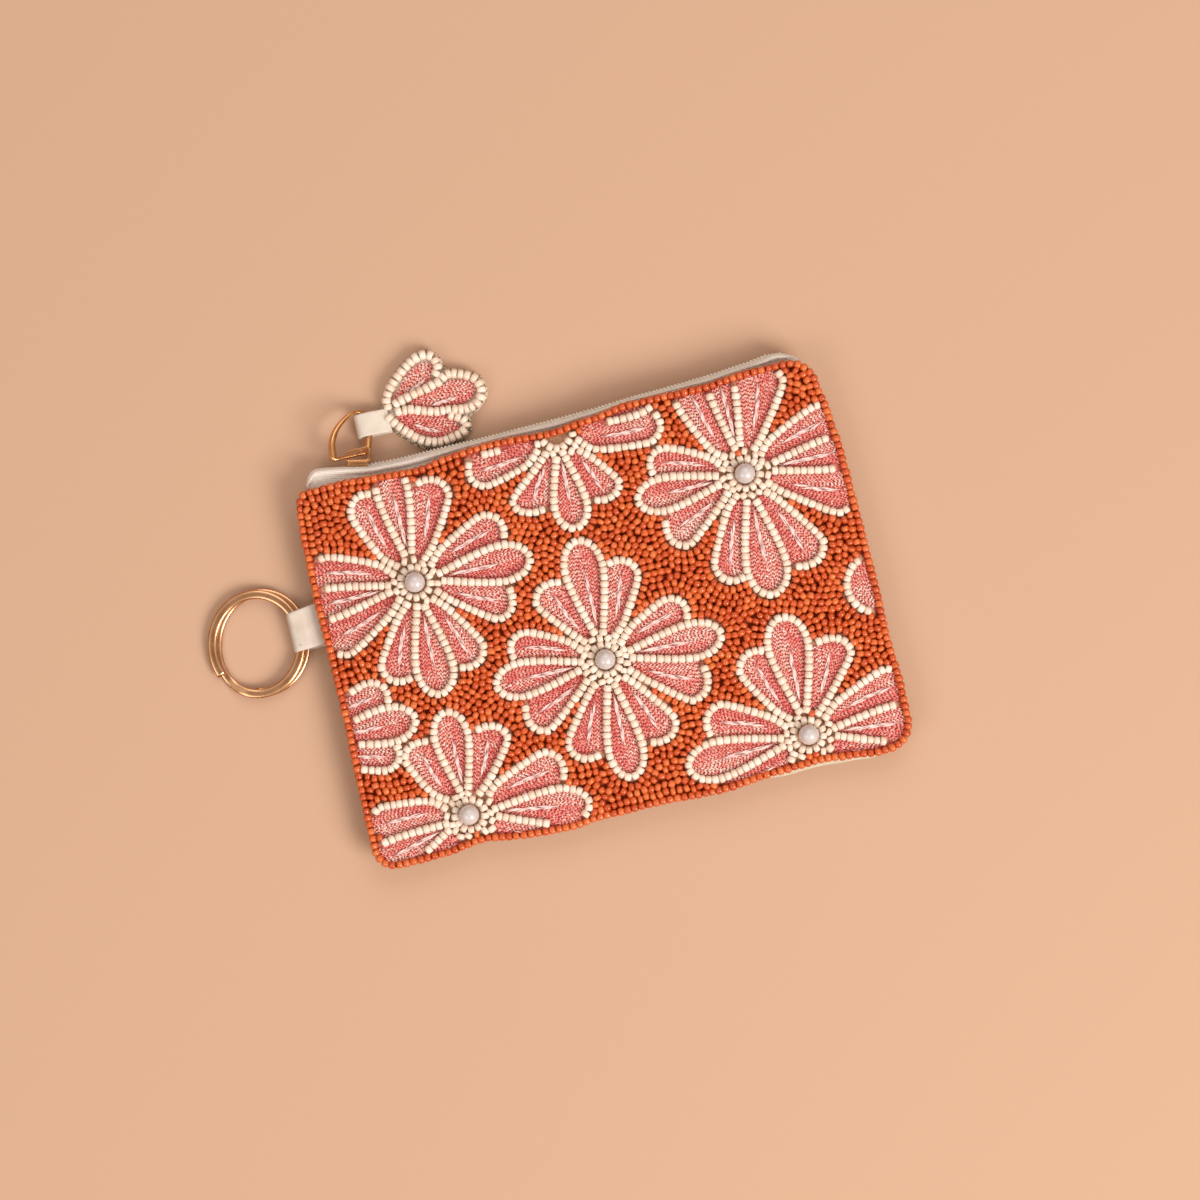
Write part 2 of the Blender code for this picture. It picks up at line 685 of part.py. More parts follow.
def charm_outline(scale):
    """The charm's edge, scaled about its middle."""
    points = smooth_loop(CHARM_ROWS, 2) * CHARM_LENGTH + np.array(charm_base())
    middle = points.mean(axis=0)
    return middle + (points - middle) * scale


def stack(name, levels, material):
    """A flat topped form from the charm's outline: each level gives a scale and a height."""
    rings = []
    for scale, z in levels:
        points = charm_outline(scale)
        rings.append(np.column_stack((points, np.full(len(points), z))))
    return loft(name, rings, material)


def make_charm():
    """Felt backing, the beaded and stitched front over it, and the strap between them."""
    felt = make_material("felt_backing", (0.80, 0.72, 0.60), 0.95)
    beads = make_material("charm_seed_beads", (0.85, 0.76, 0.60), 0.3)
    leather = make_material("strap_leather", (0.86, 0.80, 0.74), 0.5)
    stack("charm_backing", ((1.0, FLOOR_CLEAR), (1.0, FLOOR_CLEAR + CHARM_FELT)), felt)
    low = FLOOR_CLEAR + CHARM_FELT + GAP
    levels = [(scale * CHARM_RIM_SHARE, low + share * CHARM_CRUST) for scale, share in CHARM_DOME_ROWS]
    front = stack("charm_beading", levels, beads)
    shade_round(front)
    base_x, _ = charm_base()
    strap_end = base_x + STRAP_TUCK
    pressed = 2.0 * STRAP_LEATHER + GAP
    start_y, end_y = strap_sides()
    tool = box("strap_slot", (base_x - STRAP_TUCK, start_y - GAP, 0.0),
               (strap_end + GAP, end_y + GAP, low + pressed + GAP), beads)
    cut_or_join(front, tool, "DIFFERENCE")
    make_strap(strap_end, low, leather)


def strap_sides():
    """The strap's two long edges."""
    middle, _, _ = slider_frame()
    strap_y = middle.y + STRAP_FROM_SLIDER_Y
    return strap_y - STRAP_WIDTH / 2.0, strap_y + STRAP_WIDTH / 2.0


def make_strap(strap_end, low, leather):
    """A strip folded round the pull ring's far leg, both ends pressed into the charm's base."""
    middle, _, _ = slider_frame()
    leg = max(row[0] for row in PULL_ROUTE) * PULL_REACH
    leg_z = middle.z - PULL_LEAN_SLOPE * leg
    room = (PULL_WIRE_DEEP / 2.0) * math.hypot(1.0, PULL_LEAN_SLOPE) + GAP + STRAP_LEATHER / 2.0
    lower = low + STRAP_LEATHER / 2.0
    upper = lower + STRAP_LEATHER + GAP
    under = max(leg_z - room, FLOOR_CLEAR + STRAP_LEATHER / 2.0)
    over = leg_z + room + PULL_LEAN_SLOPE * 1.2 * PULL_WIRE_WIDE
    # Round the leg: across as a share of STRAP_FOLD, up as a share of the leather's thickness
    fold_rows = ((0.60, under, 0.50), (0.11, under, 0.0), (-0.54, under, 0.12), (-0.89, under, 1.0),
                 (-1.0, (under + over) / 2.0, 0.0), (-0.84, over, -0.50), (-0.43, over, 0.12),
                 (0.11, over, -0.12), (0.60, upper, 0.62))
    fold = [(middle.x + leg + across * STRAP_FOLD, level + up * STRAP_LEATHER)
            for across, level, up in fold_rows]
    straight = strap_end - 1.5 * STRAP_LEATHER
    route = [(strap_end, lower), (straight, lower), *fold, (straight, upper), (strap_end, upper)]
    folded_strip("charm_strap", route, STRAP_LEATHER, *strap_sides(), leather)


# Key ring and tab

def ring_lean():
    """Slope of the key ring, which rests on the floor at its far side and on the tab near the seam."""
    rise = TAB_LEATHER + GAP
    return rise / (RING_DIAMETER - 1.5 * RING_WIRE_WIDE)


def seam_at_tab():
    """The bead field's left edge, level with the tab's middle."""
    points = edge_curve("left", np.linspace(0.0, 1.0, 400), NO_INSETS)
    return float(np.interp(TAB_MIDDLE_Y, points[:, 1], points[:, 0]))


def ring_right():
    """The key ring's near side, which lies out from the left seam."""
    return seam_at_tab() - RING_FROM_SEAM


def ring_low(x):
    """Height of the key ring's underside."""
    return FLOOR_CLEAR + ring_lean() * (x - (ring_right() - RING_DIAMETER))


def make_key_ring():
    """Two turns of flattened wire pressed together, as one ring."""
    steel = make_material("plated_ring", (0.80, 0.62, 0.45), 0.2, 1.0)
    radius = (RING_DIAMETER - RING_WIRE_WIDE) / 2.0
    middle_x = ring_right() - RING_DIAMETER / 2.0
    middle_y = TAB_MIDDLE_Y - RING_BELOW_TAB
    wide = RING_WIRE_WIDE / 2.0
    tall = RING_WIRE_TALL / 2.0
    profile = ((wide, -0.45 * tall), (wide, 0.45 * tall), (0.6 * wide, tall), (-0.6 * wide, tall),
               (-wide, 0.45 * tall), (-wide, -0.45 * tall), (-0.6 * wide, -tall), (0.6 * wide, -tall))
    rings = []
    for turn in np.arange(40) * 2.0 * math.pi / 40:
        ring = []
        for out, up in profile:
            x = middle_x + (radius + out) * math.cos(turn)
            y = middle_y + (radius + out) * math.sin(turn)
            ring.append((x, y, ring_low(x) + tall + up))
        rings.append(ring)
    thing = loft("key_ring", rings, steel, closed=True)
    shade_round(thing, 50.0)


def make_side_tab():
    """A leather strip folded round the key ring, both ends sewn into the left seam."""
    leather = make_material("tab_leather", (0.86, 0.80, 0.72), 0.5)
    half = TAB_LEATHER / 2.0
    front_low = SEAM_HEIGHT + GAP / 2.0
    upper_end = front_low - GAP - half
    lower_end = upper_end - TAB_LEATHER - GAP
    edge = seam_at_tab()
    end = edge + BACK_INSET_LEFT - GAP
    floor = FLOOR_CLEAR + half
    near = ring_right()
    over = ring_low(near) + RING_WIRE_TALL + GAP + half
    fold = near - RING_WIRE_WIDE - TAB_FOLD + half
    # Side view from the seam, under the ring, round the fold and back over it: a place, then
    # how far past it across as a share of TAB_FOLD, a level, and how far above it as a share
    # of the leather's thickness
    rows = (
        (end, 0.0, lower_end, 0.0), (edge, -0.06, lower_end, -0.10), (near, 0.31, floor, 1.05),
        (near, -0.03, floor, 0.0), (near, -0.69, floor, 0.0), (fold, 0.33, floor, 0.0),
        (fold, 0.08, floor, 0.67), (fold, 0.0, (floor + over) / 2.0, 0.0), (fold, 0.11, over, -0.57),
        (fold, 0.42, over, -0.10), (near, -0.61, over, 0.10), (near, 0.11, over, 0.0),
        (edge, -0.08, upper_end, 0.10), (end, 0.0, upper_end, 0.0),
    )
    route = [(place + across * TAB_FOLD, level + up * TAB_LEATHER) for place, across, level, up in rows]
    folded_strip("side_tab", route, TAB_LEATHER, TAB_MIDDLE_Y - TAB_WIDTH / 2.0,
                 TAB_MIDDLE_Y + TAB_WIDTH / 2.0, leather)


for old in list(bpy.data.objects):
    bpy.data.objects.remove(old, do_unlink=True)
make_panels()
make_pearls()
make_zip()
make_pull_ring()
make_charm()
make_key_ring()
make_side_tab()
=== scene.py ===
import math

import bmesh
import bpy
import numpy as np
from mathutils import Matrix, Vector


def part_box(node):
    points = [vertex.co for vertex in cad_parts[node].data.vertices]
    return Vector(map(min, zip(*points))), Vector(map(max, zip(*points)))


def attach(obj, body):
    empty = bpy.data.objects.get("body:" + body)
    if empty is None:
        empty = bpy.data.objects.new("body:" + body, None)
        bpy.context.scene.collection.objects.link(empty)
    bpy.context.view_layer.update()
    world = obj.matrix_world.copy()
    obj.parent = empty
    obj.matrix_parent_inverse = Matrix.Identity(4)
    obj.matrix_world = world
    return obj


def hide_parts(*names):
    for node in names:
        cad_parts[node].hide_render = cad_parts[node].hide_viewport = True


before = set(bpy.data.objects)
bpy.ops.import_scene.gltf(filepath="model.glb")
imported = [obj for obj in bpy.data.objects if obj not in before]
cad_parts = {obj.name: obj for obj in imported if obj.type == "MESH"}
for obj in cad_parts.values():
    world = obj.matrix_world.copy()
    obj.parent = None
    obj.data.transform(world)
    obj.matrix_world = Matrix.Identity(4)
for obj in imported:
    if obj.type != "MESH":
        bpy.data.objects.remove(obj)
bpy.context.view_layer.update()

# Front canvas
# A panel of cream cotton canvas in a plain weave, with the flowers marked on it before it is
# sewn. The threads pull it softly up and down. Under the orange beads it is painted deep orange,
# for the orange bounce light and shade in the gaps. Under the cream beads it is painted a darker
# peach, for the shade in their gaps. Under the petals it is rose.
MM = 0.001
CANVAS_THICK = 1.2
WEAVE_PITCH = 0.8
# A panel's half width and height, and the points of the front one's net across and up it
PANEL_HALF = (69.0, 50.0)
FRONT_NET = (241, 177)
# The rows of cream beads stop this far inside the beads' rim
ROW_DEPTH = 3.0
# How far from a row's middle line and from a flower's middle the painted peach shade reaches, and
# where the rose starts beside a row
SHADE_AND_ROSE_REACH = (1.3, 9.0, 0.9)
# The cloth, the painted orange bounce light and shade under the orange beads, the painted peach
# shade under the cream beads, and the rose under the floss
CLOTH = "#EFE2C8"
ORANGE_GAP_SHADE = "#B23E15"
PEACH_GAP_SHADE = "#E8B993"
ROSE_STAIN = "#E8736B"
random = np.random.default_rng(11)


def linear(code):
    """A hex sRGB colour in linear light: c / 12.92 up to 0.04045, else ((c + 0.055) / 1.055) ^ 2.4."""
    share = np.array([int(code[place:place + 2], 16) for place in (1, 3, 5)]) / 255.0
    return (*np.where(share <= 0.04045, share / 12.92, ((share + 0.055) / 1.055) ** 2.4), 1.0)


def new_material(name, **sockets):
    """A Principled material, with its uniform values set on the shader's own sockets."""
    material = bpy.data.materials.new(name)
    material.use_nodes = True
    shader = material.node_tree.nodes["Principled BSDF"]
    for key, value in sockets.items():
        shader.inputs[key.replace("_", " ")].default_value = value
    return material, material.node_tree, shader


def feed(item, links):
    """Links a node's inputs, by name, to the outputs that feed them."""
    for key, source in links.items():
        item.id_data.links.new(source, item.inputs[key])


def add(tree, kind, settings=None, links=None, stops=()):
    """Adds one node: settings are its attributes and sockets by name, links its inputs and what feeds
    them, and stops the places and colours along a colour ramp."""
    item = tree.nodes.new(kind)
    for key, value in (settings or {}).items():
        if isinstance(key, str) and hasattr(item, key):
            setattr(item, key, value)
        else:
            item.inputs[key].default_value = value
    feed(item, links or {})
    for number, (share, code) in enumerate(stops[:1] + stops[-1:] + stops[1:-1]):
        colours = item.color_ramp.elements
        stop = colours[number] if number < 2 else colours.new(share)
        stop.position, stop.color = share, linear(code)
    return item


def stand(name, mesh, material):
    """Puts a mesh in the scene as a piece of the one body, with its material."""
    mesh.materials.append(material)
    piece = bpy.data.objects.new(name, mesh)
    bpy.context.scene.collection.objects.link(piece)
    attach(piece, "root")
    return piece


def make_piece(name, points, faces, material, slot, attributes=None):
    """A smooth mesh from whole arrays: points in millimetres, faces as arrays of corner numbers."""
    points = points.reshape(-1, 3) * MM
    faces = faces if isinstance(faces, list) else [faces]
    corners = np.concatenate([part.ravel() for part in faces])
    sizes = np.concatenate([np.full(len(part), part.shape[1]) for part in faces])
    mesh = bpy.data.meshes.new(name)
    mesh.vertices.add(len(points))
    mesh.vertices.foreach_set("co", points.astype(np.float32).ravel())
    mesh.loops.add(len(corners))
    mesh.loops.foreach_set("vertex_index", corners.astype(np.int32))
    mesh.polygons.add(len(sizes))
    mesh.polygons.foreach_set("loop_start", np.concatenate(([0], np.cumsum(sizes)[:-1])).astype(np.int32))
    mesh.update(calc_edges=True)
    mesh.shade_smooth()
    for key, values in (attributes or {}).items():
        kind, field = ("FLOAT_COLOR", "color") if values.ndim == 2 else ("FLOAT", "value")
        mesh.attributes.new(key, kind, "POINT").data.foreach_set(field, values.astype(np.float32).ravel())
    return stand(name, mesh, material)


def packed_points(node):
    """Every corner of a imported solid, in millimetres."""
    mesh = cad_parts[node].data
    points = np.empty(3 * len(mesh.vertices), np.float32)
    mesh.vertices.foreach_get("co", points)
    return points.reshape(-1, 3).astype(float) / MM


def height_field(node, upper):
    """The upper or lower side of a panel on a 1.25 mm raster: at each raster point, the height of the
    plane that best fits the panel's points near it. A point weighs exp(-(distance / 5.5 mm)^2)
    + 0.0001 exp(-(distance / 25 mm)^2), so where a flat part has no points the farther ones count."""
    points = packed_points(node)
    plan, index = np.unique(np.round(points[:, :2], 2), axis=0, return_inverse=True)
    level = np.full(len(plan), -1e3 if upper else 1e3)
    (np.maximum if upper else np.minimum).at(level, index.ravel(), points[:, 2])
    x = np.arange(-74.0, 74.1, 1.25)
    y = np.arange(-55.0, 58.0, 1.25)
    away = plan - np.stack(np.meshgrid(x, y), axis=-1)[:, :, None]
    far = (away ** 2).sum(-1)
    weight = np.exp(-far / 5.5 ** 2) + 1e-4 * np.exp(-far / 25.0 ** 2)
    terms = np.concatenate((np.ones_like(away[..., :1]), away), axis=-1)
    weighted = terms * weight[..., None]
    square = np.swapaxes(weighted, -1, -2) @ terms + 1e-9 * np.eye(3)
    right = np.swapaxes(weighted, -1, -2) @ level[:, None]
    return x, y, np.linalg.solve(square, right)[..., 0, 0]


def height_at(field, plan):
    """A height field read between its raster points, in proportion to the distance from each."""
    x, y, z = field
    column = np.clip((plan[..., 0] - x[0]) / (x[1] - x[0]), 0.0, len(x) - 1.001)
    row = np.clip((plan[..., 1] - y[0]) / (y[1] - y[0]), 0.0, len(y) - 1.001)
    i, j = column.astype(int), row.astype(int)
    a, b = column - i, row - j
    return ((z[j, i] * (1 - a) + z[j, i + 1] * a) * (1 - b)
            + (z[j + 1, i] * (1 - a) + z[j + 1, i + 1] * a) * b)


def unit(vectors):
    """Vectors brought to a length of one."""
    return vectors / np.linalg.norm(vectors, axis=-1, keepdims=True)


def normal_at(field, plan):
    """The upward unit normal, from the heights 1 mm to each side."""
    right, up = np.array((1.0, 0.0)), np.array((0.0, 1.0))
    slope_x = (height_at(field, plan + right) - height_at(field, plan - right)) / 2.0
    slope_y = (height_at(field, plan + up) - height_at(field, plan - up)) / 2.0
    return unit(np.stack((-slope_x, -slope_y, np.ones_like(slope_x)), axis=-1))


def distances(line):
    """How far each point of a line lies from its start, along the line."""
    return np.concatenate(([0.0], np.cumsum(np.linalg.norm(np.diff(line, axis=0), axis=1))))


def points_at(places, line):
    """The points at some distances along a line."""
    reach = distances(line)
    return np.stack([np.interp(places, reach, values) for values in line.T], axis=-1)


def evenly(line, spacing):
    """Points at even steps along a line, with its two ends kept."""
    length = distances(line)[-1]
    return points_at(np.linspace(0.0, length, max(2, int(round(length / spacing)) + 1)), line)


def smooth_through(points, spacing, closed=False):
    """A Catmull-Rom curve through points at even spacing. Between p1 and p2 it is half of
    2 p1 + (p2 - p0) t + (2 p0 - 5 p1 + 4 p2 - p3) t^2 + (3 p1 - p0 - 3 p2 + p3) t^3."""
    points = np.asarray(points, float)
    if closed:
        points = np.vstack((points, points[:1]))
        ring = np.vstack((points[-2:-1], points, points[1:2]))
    else:
        ring = np.vstack((2 * points[0] - points[1], points, 2 * points[-1] - points[-2]))
    p0, p1, p2, p3 = ring[:-3, None], ring[1:-2, None], ring[2:-1, None], ring[3:, None]
    t = (np.arange(16) / 16.0)[None, :, None]
    curve = 0.5 * (2 * p1 + (p2 - p0) * t + (2 * p0 - 5 * p1 + 4 * p2 - p3) * t ** 2
                   + (3 * p1 - p0 - 3 * p2 + p3) * t ** 3)
    line = evenly(np.vstack((curve.reshape(-1, points.shape[1]), points[-1:])), spacing)
    return line[:-1] if closed else line


def rim_of(node, outer=0.0, spacing=0.5):
    """A panel's outline in plan: the points of its upright faces, in order round the middle. Those
    nearer the middle than outer, a share of the half width and height, belong to holes in it."""
    upright = [list(face.vertices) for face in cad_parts[node].data.polygons if abs(face.normal.z) < 0.3]
    plan = np.unique(np.round(packed_points(node)[np.unique(upright), :2], 2), axis=0)
    middle, half = (plan.max(0) + plan.min(0)) / 2, (plan.max(0) - plan.min(0)) / 2
    plan = plan[(abs(plan - middle) / half).max(1) > outer]
    plan = plan[np.argsort(np.arctan2(*(plan - middle).T[::-1]))]
    return smooth_through(plan, spacing, closed=True)


def panel_net(rim, across, up):
    """A square net spread over an outline. A net point at share q of the way from the middle to the
    net's edge, in direction a, goes to share q of the way to the outline in that direction."""
    u, v = np.meshgrid(np.linspace(-1.0, 1.0, across), np.linspace(-1.0, 1.0, up))
    direction = np.arctan2(v * PANEL_HALF[1], u * PANEL_HALF[0])
    radius = np.interp(direction, np.arctan2(rim[:, 1], rim[:, 0]), np.hypot(*rim.T), period=2 * np.pi)
    share = np.maximum(abs(u), abs(v))
    return (share * radius)[..., None] * np.stack((np.cos(direction), np.sin(direction)), axis=-1)


def outwards(line):
    """Unit vectors square to a closed line that runs anticlockwise, to its outside."""
    ahead = np.roll(line, -1, axis=0) - np.roll(line, 1, axis=0)
    return unit(np.column_stack((ahead[:, 1], -ahead[:, 0])))


def closed_sheet(plan, low, high, bulge):
    """Points and faces of a sheet: its two sides, and an edge that stands out by bulge halfway up."""
    index = np.arange(low.size).reshape(low.shape)
    quads = np.stack((index[:-1, :-1], index[:-1, 1:], index[1:, 1:], index[1:, :-1]), -1).reshape(-1, 4)
    rim = np.concatenate((index[0, :-1], index[:-1, -1], index[-1, :0:-1], index[:0:-1, 0]))
    flat = plan.reshape(-1, 2)
    middle = (low.ravel() + high.ravel())[rim] / 2.0
    points = np.vstack((np.column_stack((flat, high.ravel())), np.column_stack((flat, low.ravel())),
                        np.column_stack((flat[rim] + outwards(flat[rim]) * bulge, middle))))
    edge = 2 * low.size + np.arange(len(rim))
    following, edge_following = np.roll(rim, -1), np.roll(edge, -1)
    sides = [np.stack((edge, edge_following, following, rim), -1),
             np.stack((rim + low.size, following + low.size, edge_following, edge), -1)]
    return points, np.vstack((quads, quads[:, ::-1] + low.size, *sides))


def nearest(points, others):
    """Distance from each point to the closest of the others, worked out a batch of points at a time."""
    flat = points.reshape(-1, 2)
    far = (others ** 2).sum(1)
    found = [((part ** 2).sum(1)[:, None] + far - 2.0 * part @ others.T).min(1)
             for part in np.array_split(flat, max(1, len(flat) // 1500))]
    return np.sqrt(np.clip(np.concatenate(found), 0.0, None)).reshape(points.shape[:-1])


def within(points, polygon):
    """True where a line to the right of the point crosses the polygon an odd number of times."""
    x, y = points[..., 0, None], points[..., 1, None]
    start, end = polygon, np.roll(polygon, -1, axis=0)
    spans = (start[:, 1] > y) != (end[:, 1] > y)
    rise = np.where(end[:, 1] == start[:, 1], 1.0, end[:, 1] - start[:, 1])
    crossing = start[:, 0] + (y - start[:, 1]) * (end[:, 0] - start[:, 0]) / rise
    return (spans & (x < crossing)).sum(-1) % 2 == 1


def in_any(points, outlines):
    """True for the points inside at least one of the outlines."""
    found = np.zeros(points.shape[:-1], bool)
    for outline in outlines:
        boxed = (points > outline.min(0)).all(-1) & (points < outline.max(0)).all(-1)
        found[boxed] |= within(points[boxed], outline[::3])
    return found


def depth_in(points, rim):
    """How far each point lies inside the outline, negative outside it."""
    radius = np.interp(np.arctan2(points[..., 1], points[..., 0]), np.arctan2(rim[:, 1], rim[:, 0]),
                       np.hypot(*rim.T), period=2 * np.pi)
    inside = np.hypot(points[..., 0], points[..., 1]) < radius
    return nearest(points, rim) * np.where(inside, 1.0, -1.0)


# Each flower has its middle, then its lobes of three petals each: the lobe's direction in degrees,
# the reach and half width of its middle petal, then the reach and the spread of its left and of its
# right petal. All are to the middle of the row of beads round the petal. 0 is a petal that is cut off.
FLOWERS = (
    ((-43.3, 18.9), ((91.0, 31.0, 3.9, 24.6, 11.2, 24.2, 13.3), (-1.0, 29.3, 4.5, 24.5, 12.6, 23.0, 13.1),
                     (-90.5, 28.6, 4.6, 23.6, 12.8, 23.4, 12.7), (180.5, 31.0, 3.9, 25.0, 13.2, 25.0, 11.4))),
    ((-1.5, -10.9), ((90.0, 30.5, 4.8, 21.8, 13.3, 23.5, 12.6), (-1.0, 29.6, 4.3, 22.5, 11.4, 24.0, 14.3),
                     (-90.5, 30.0, 4.3, 23.0, 13.4, 23.2, 13.5), (180.0, 28.0, 4.2, 22.5, 13.6, 22.5, 11.2))),
    ((43.2, 26.3), ((92.0, 31.0, 3.4, 26.0, 11.7, 25.0, 15.0), (181.0, 27.5, 4.1, 22.5, 13.5, 22.5, 11.2),
                    (-90.0, 31.0, 5.0, 26.0, 14.8, 25.5, 12.4), (0.0, 31.0, 4.0, 26.0, 12.3, 26.0, 14.6))),
    ((-0.5, 47.0), ((-91.5, 24.2, 4.1, 18.7, 12.8, 18.2, 13.8), (171.0, 25.5, 4.0, 22.5, 11.5, 0.0, 0.0),
                    (11.0, 28.0, 4.2, 0.0, 0.0, 25.0, 11.5))),
    ((-43.5, -40.7), ((90.0, 26.3, 4.2, 20.5, 12.4, 20.5, 13.4), (196.0, 30.0, 4.2, 22.0, 12.0, 23.0, 12.2),
                      (-8.0, 30.0, 4.4, 24.5, 13.5, 24.0, 12.0))),
    ((43.6, -41.0), ((89.5, 30.2, 5.0, 23.5, 13.0, 22.5, 14.7), (182.0, 31.0, 4.6, 24.0, 12.0, 24.0, 13.0),
                     (-6.0, 31.0, 4.6, 26.0, 13.5, 24.0, 12.0))),
    ((-80.5, -14.3), ((0.0, 29.3, 4.4, 24.0, 11.3, 23.5, 10.8),)),
    ((91.0, -8.0), ((180.0, 29.5, 7.0, 0.0, 0.0, 0.0, 0.0),)),
)
# Side rows start at two places by the line between lobes: how far from the flower's middle, and how far
# to the petal's side of that line
ROW_START = ((5.6, 1.1), (11.0, 1.2))
# The places of a petal's centre line, as shares of its reach: a middle petal's, then a side petal's
MIDDLE_CENTRE, SIDE_CENTRE = (0.30, 0.74), (0.42, 0.62, 0.86)
# The widest gap between neighbouring lobes in degrees, and what stands for it where there is none
LOBE_GAP = (125.0, 95.0)
# Half of a middle petal's row from its base, as shares of its reach and half width
MIDDLE_ROW = ((0.206, 0.19), (0.332, 0.42), (0.498, 0.71), (0.664, 0.94), (0.797, 1.0), (0.914, 0.79),
              (0.983, 0.375))
# The outer part of a side petal's row, as shares of its reach and spread
SIDE_ROW = ((0.737, 0.977), (0.87, 1.0), (0.964, 0.88), (1.0, 0.68), (0.985, 0.47))


def lobe_lines(middle, lobe, gaps):
    """The rows of beads round one lobe's petals, the outlines that they close, and the petals' centre
    lines. A side row starts along the line halfway to the next lobe, gaps / 2 degrees from the axis."""
    turn = math.radians(lobe[0])
    along, left = np.array((math.cos(turn), math.sin(turn))), np.array((-math.sin(turn), math.cos(turn)))
    tip, half = lobe[1:3]
    shape = np.array(MIDDLE_ROW) * (tip, half)
    round_tip = smooth_through(np.vstack((shape * (1, -1), (tip, 0.0), shape[::-1])), 0.2)
    rows, petals, centres = [round_tip], [round_tip], [np.array([(share * tip, 0.0) for share in MIDDLE_CENTRE])]
    for side, gap, reach, spread in ((1, gaps[0], *lobe[3:5]), (-1, gaps[1], *lobe[5:7])):
        if reach:
            angle = math.radians(gap / 2.0)
            start = [(r * math.cos(angle) + away * math.sin(angle), r * math.sin(angle) - away * math.cos(angle))
                     for r, away in ROW_START]
            row = smooth_through(np.vstack((start, np.array(SIDE_ROW) * (reach, spread))), 0.2)
            inner = round_tip[round_tip[:, 1] > 0.0]
            inner = inner[inner[:, 0] < row[-1, 0]]
            x = np.array(SIDE_CENTRE) * reach
            outer_y = np.interp(x, row[:, 0], row[:, 1])
            inner_y = np.interp(x, inner[::-1, 0], inner[::-1, 1])
            rows.append(row * (1, side))
            petals.append(np.vstack((row, inner)) * (1, side))
            centres.append(np.column_stack((x, 0.5 * outer_y + 0.5 * inner_y)) * (1, side))
    return [[middle + line[:, :1] * along + line[:, 1:] * left for line in lines]
            for lines in (rows, petals, centres)]


def flower_lines(middle, lobes):
    """The rows, petals and centre lines of all the lobes of a flower."""
    directions = np.array([lobe[0] for lobe in lobes])
    found = [[], [], []]
    for lobe in lobes:
        turn = (directions - lobe[0]) % 360.0
        gaps = [min(value[value > 1.0], default=360.0) for value in (turn, (-turn) % 360.0)]
        gaps = [gap if gap < LOBE_GAP[0] else LOBE_GAP[1] for gap in gaps]
        for kept, lines in zip(found, lobe_lines(np.array(middle), lobe, gaps)):
            kept.extend(lines)
    return found


def reach_border(petal, rim):
    """A petal that the edge of the panel cuts has no beads there, and its stitches run on to the border:
    an outline point moves out, square to the rim, by 2.6 mm * (2.9 - its depth inside the rim) / 0.6,
    but by 2.6 mm at most. The corners that this makes are rounded by an average over 3.4 mm."""
    out = outwards(rim)[((petal[:, None] - rim) ** 2).sum(-1).argmin(1)]
    push = 2.6 * np.clip((2.9 - depth_in(petal, rim)) / 0.6, 0.0, 1.0)[:, None]
    if not push.any():
        return petal
    line = petal + push * out
    line = evenly(np.vstack((line, line[:1])), 0.2)[:-1]
    return np.mean([np.roll(line, offset, axis=0) for offset in range(-8, 9)], axis=0)


front_field = height_field("front_panel", upper=True)
bead_rim = rim_of("bead_field", outer=0.9)
flowers = [flower_lines(middle, lobes) for middle, lobes in FLOWERS]
petals = [petal for _, outlines, _ in flowers for petal in outlines]
stitched_petals = [reach_border(petal, bead_rim) for petal in petals]

flower_middles = np.array([middle for middle, _ in FLOWERS])
bead_lines = np.vstack([line[::3] for rows, _, _ in flowers for line in rows])
bead_lines = bead_lines[depth_in(bead_lines, bead_rim) > ROW_DEPTH]

plan = panel_net(rim_of("front_panel"), *FRONT_NET)
top = height_at(front_field, plan)
from_rows = nearest(plan, bead_lines)
# Painted light over the cream cloth: deep orange for the bounce light and shade in the gaps under the orange beads,
# and a darker peach for the shade in the gaps by the cream rows and pearls
ground = np.full((*top.shape, 4), linear(ORANGE_GAP_SHADE))
ground[(from_rows < SHADE_AND_ROSE_REACH[0]) | (nearest(plan, flower_middles) < SHADE_AND_ROSE_REACH[1])] = linear(PEACH_GAP_SHADE)
ground[in_any(plan, stitched_petals) & (from_rows >= SHADE_AND_ROSE_REACH[2])] = linear(ROSE_STAIN)

# Plain woven cotton: dull, with threads 0.8 mm apart, drawn a little coarse so that they show
canvas, tree, shader = new_material("plain_woven_cotton_canvas", Roughness=0.92, Sheen_Weight=0.25,
                                    Sheen_Roughness=0.6)
place = add(tree, "ShaderNodeTexCoord").outputs["Object"]
warp, weft = [add(tree, "ShaderNodeTexWave", {"bands_direction": way, "Scale": 2 * math.pi / WEAVE_PITCH / MM / 20,
                                              "Distortion": 0.6, "Detail": 1.0}, {"Vector": place}).outputs["Fac"]
              for way in "XY"]
weave = add(tree, "ShaderNodeMath", {"operation": "MAXIMUM"}, {0: warp, 1: weft})
slubs = add(tree, "ShaderNodeTexNoise", {"Scale": 900.0, "Detail": 3.0}, {"Vector": place})
tint = add(tree, "ShaderNodeAttribute", {"attribute_name": "ground"})
shade = add(tree, "ShaderNodeMixRGB", {"blend_type": "MULTIPLY", "Fac": 0.35},
            {"Color1": tint.outputs["Color"], "Color2": slubs.outputs["Fac"]})
thread = add(tree, "ShaderNodeMixRGB", {"blend_type": "MULTIPLY", "Fac": 0.25},
             {"Color1": shade.outputs["Color"], "Color2": weave.outputs[0]})
bump = add(tree, "ShaderNodeBump", {"Strength": 0.6, "Distance": 0.15 * MM}, {"Height": weave.outputs[0]})
feed(shader, {"Base Color": thread.outputs["Color"], "Normal": bump.outputs["Normal"]})

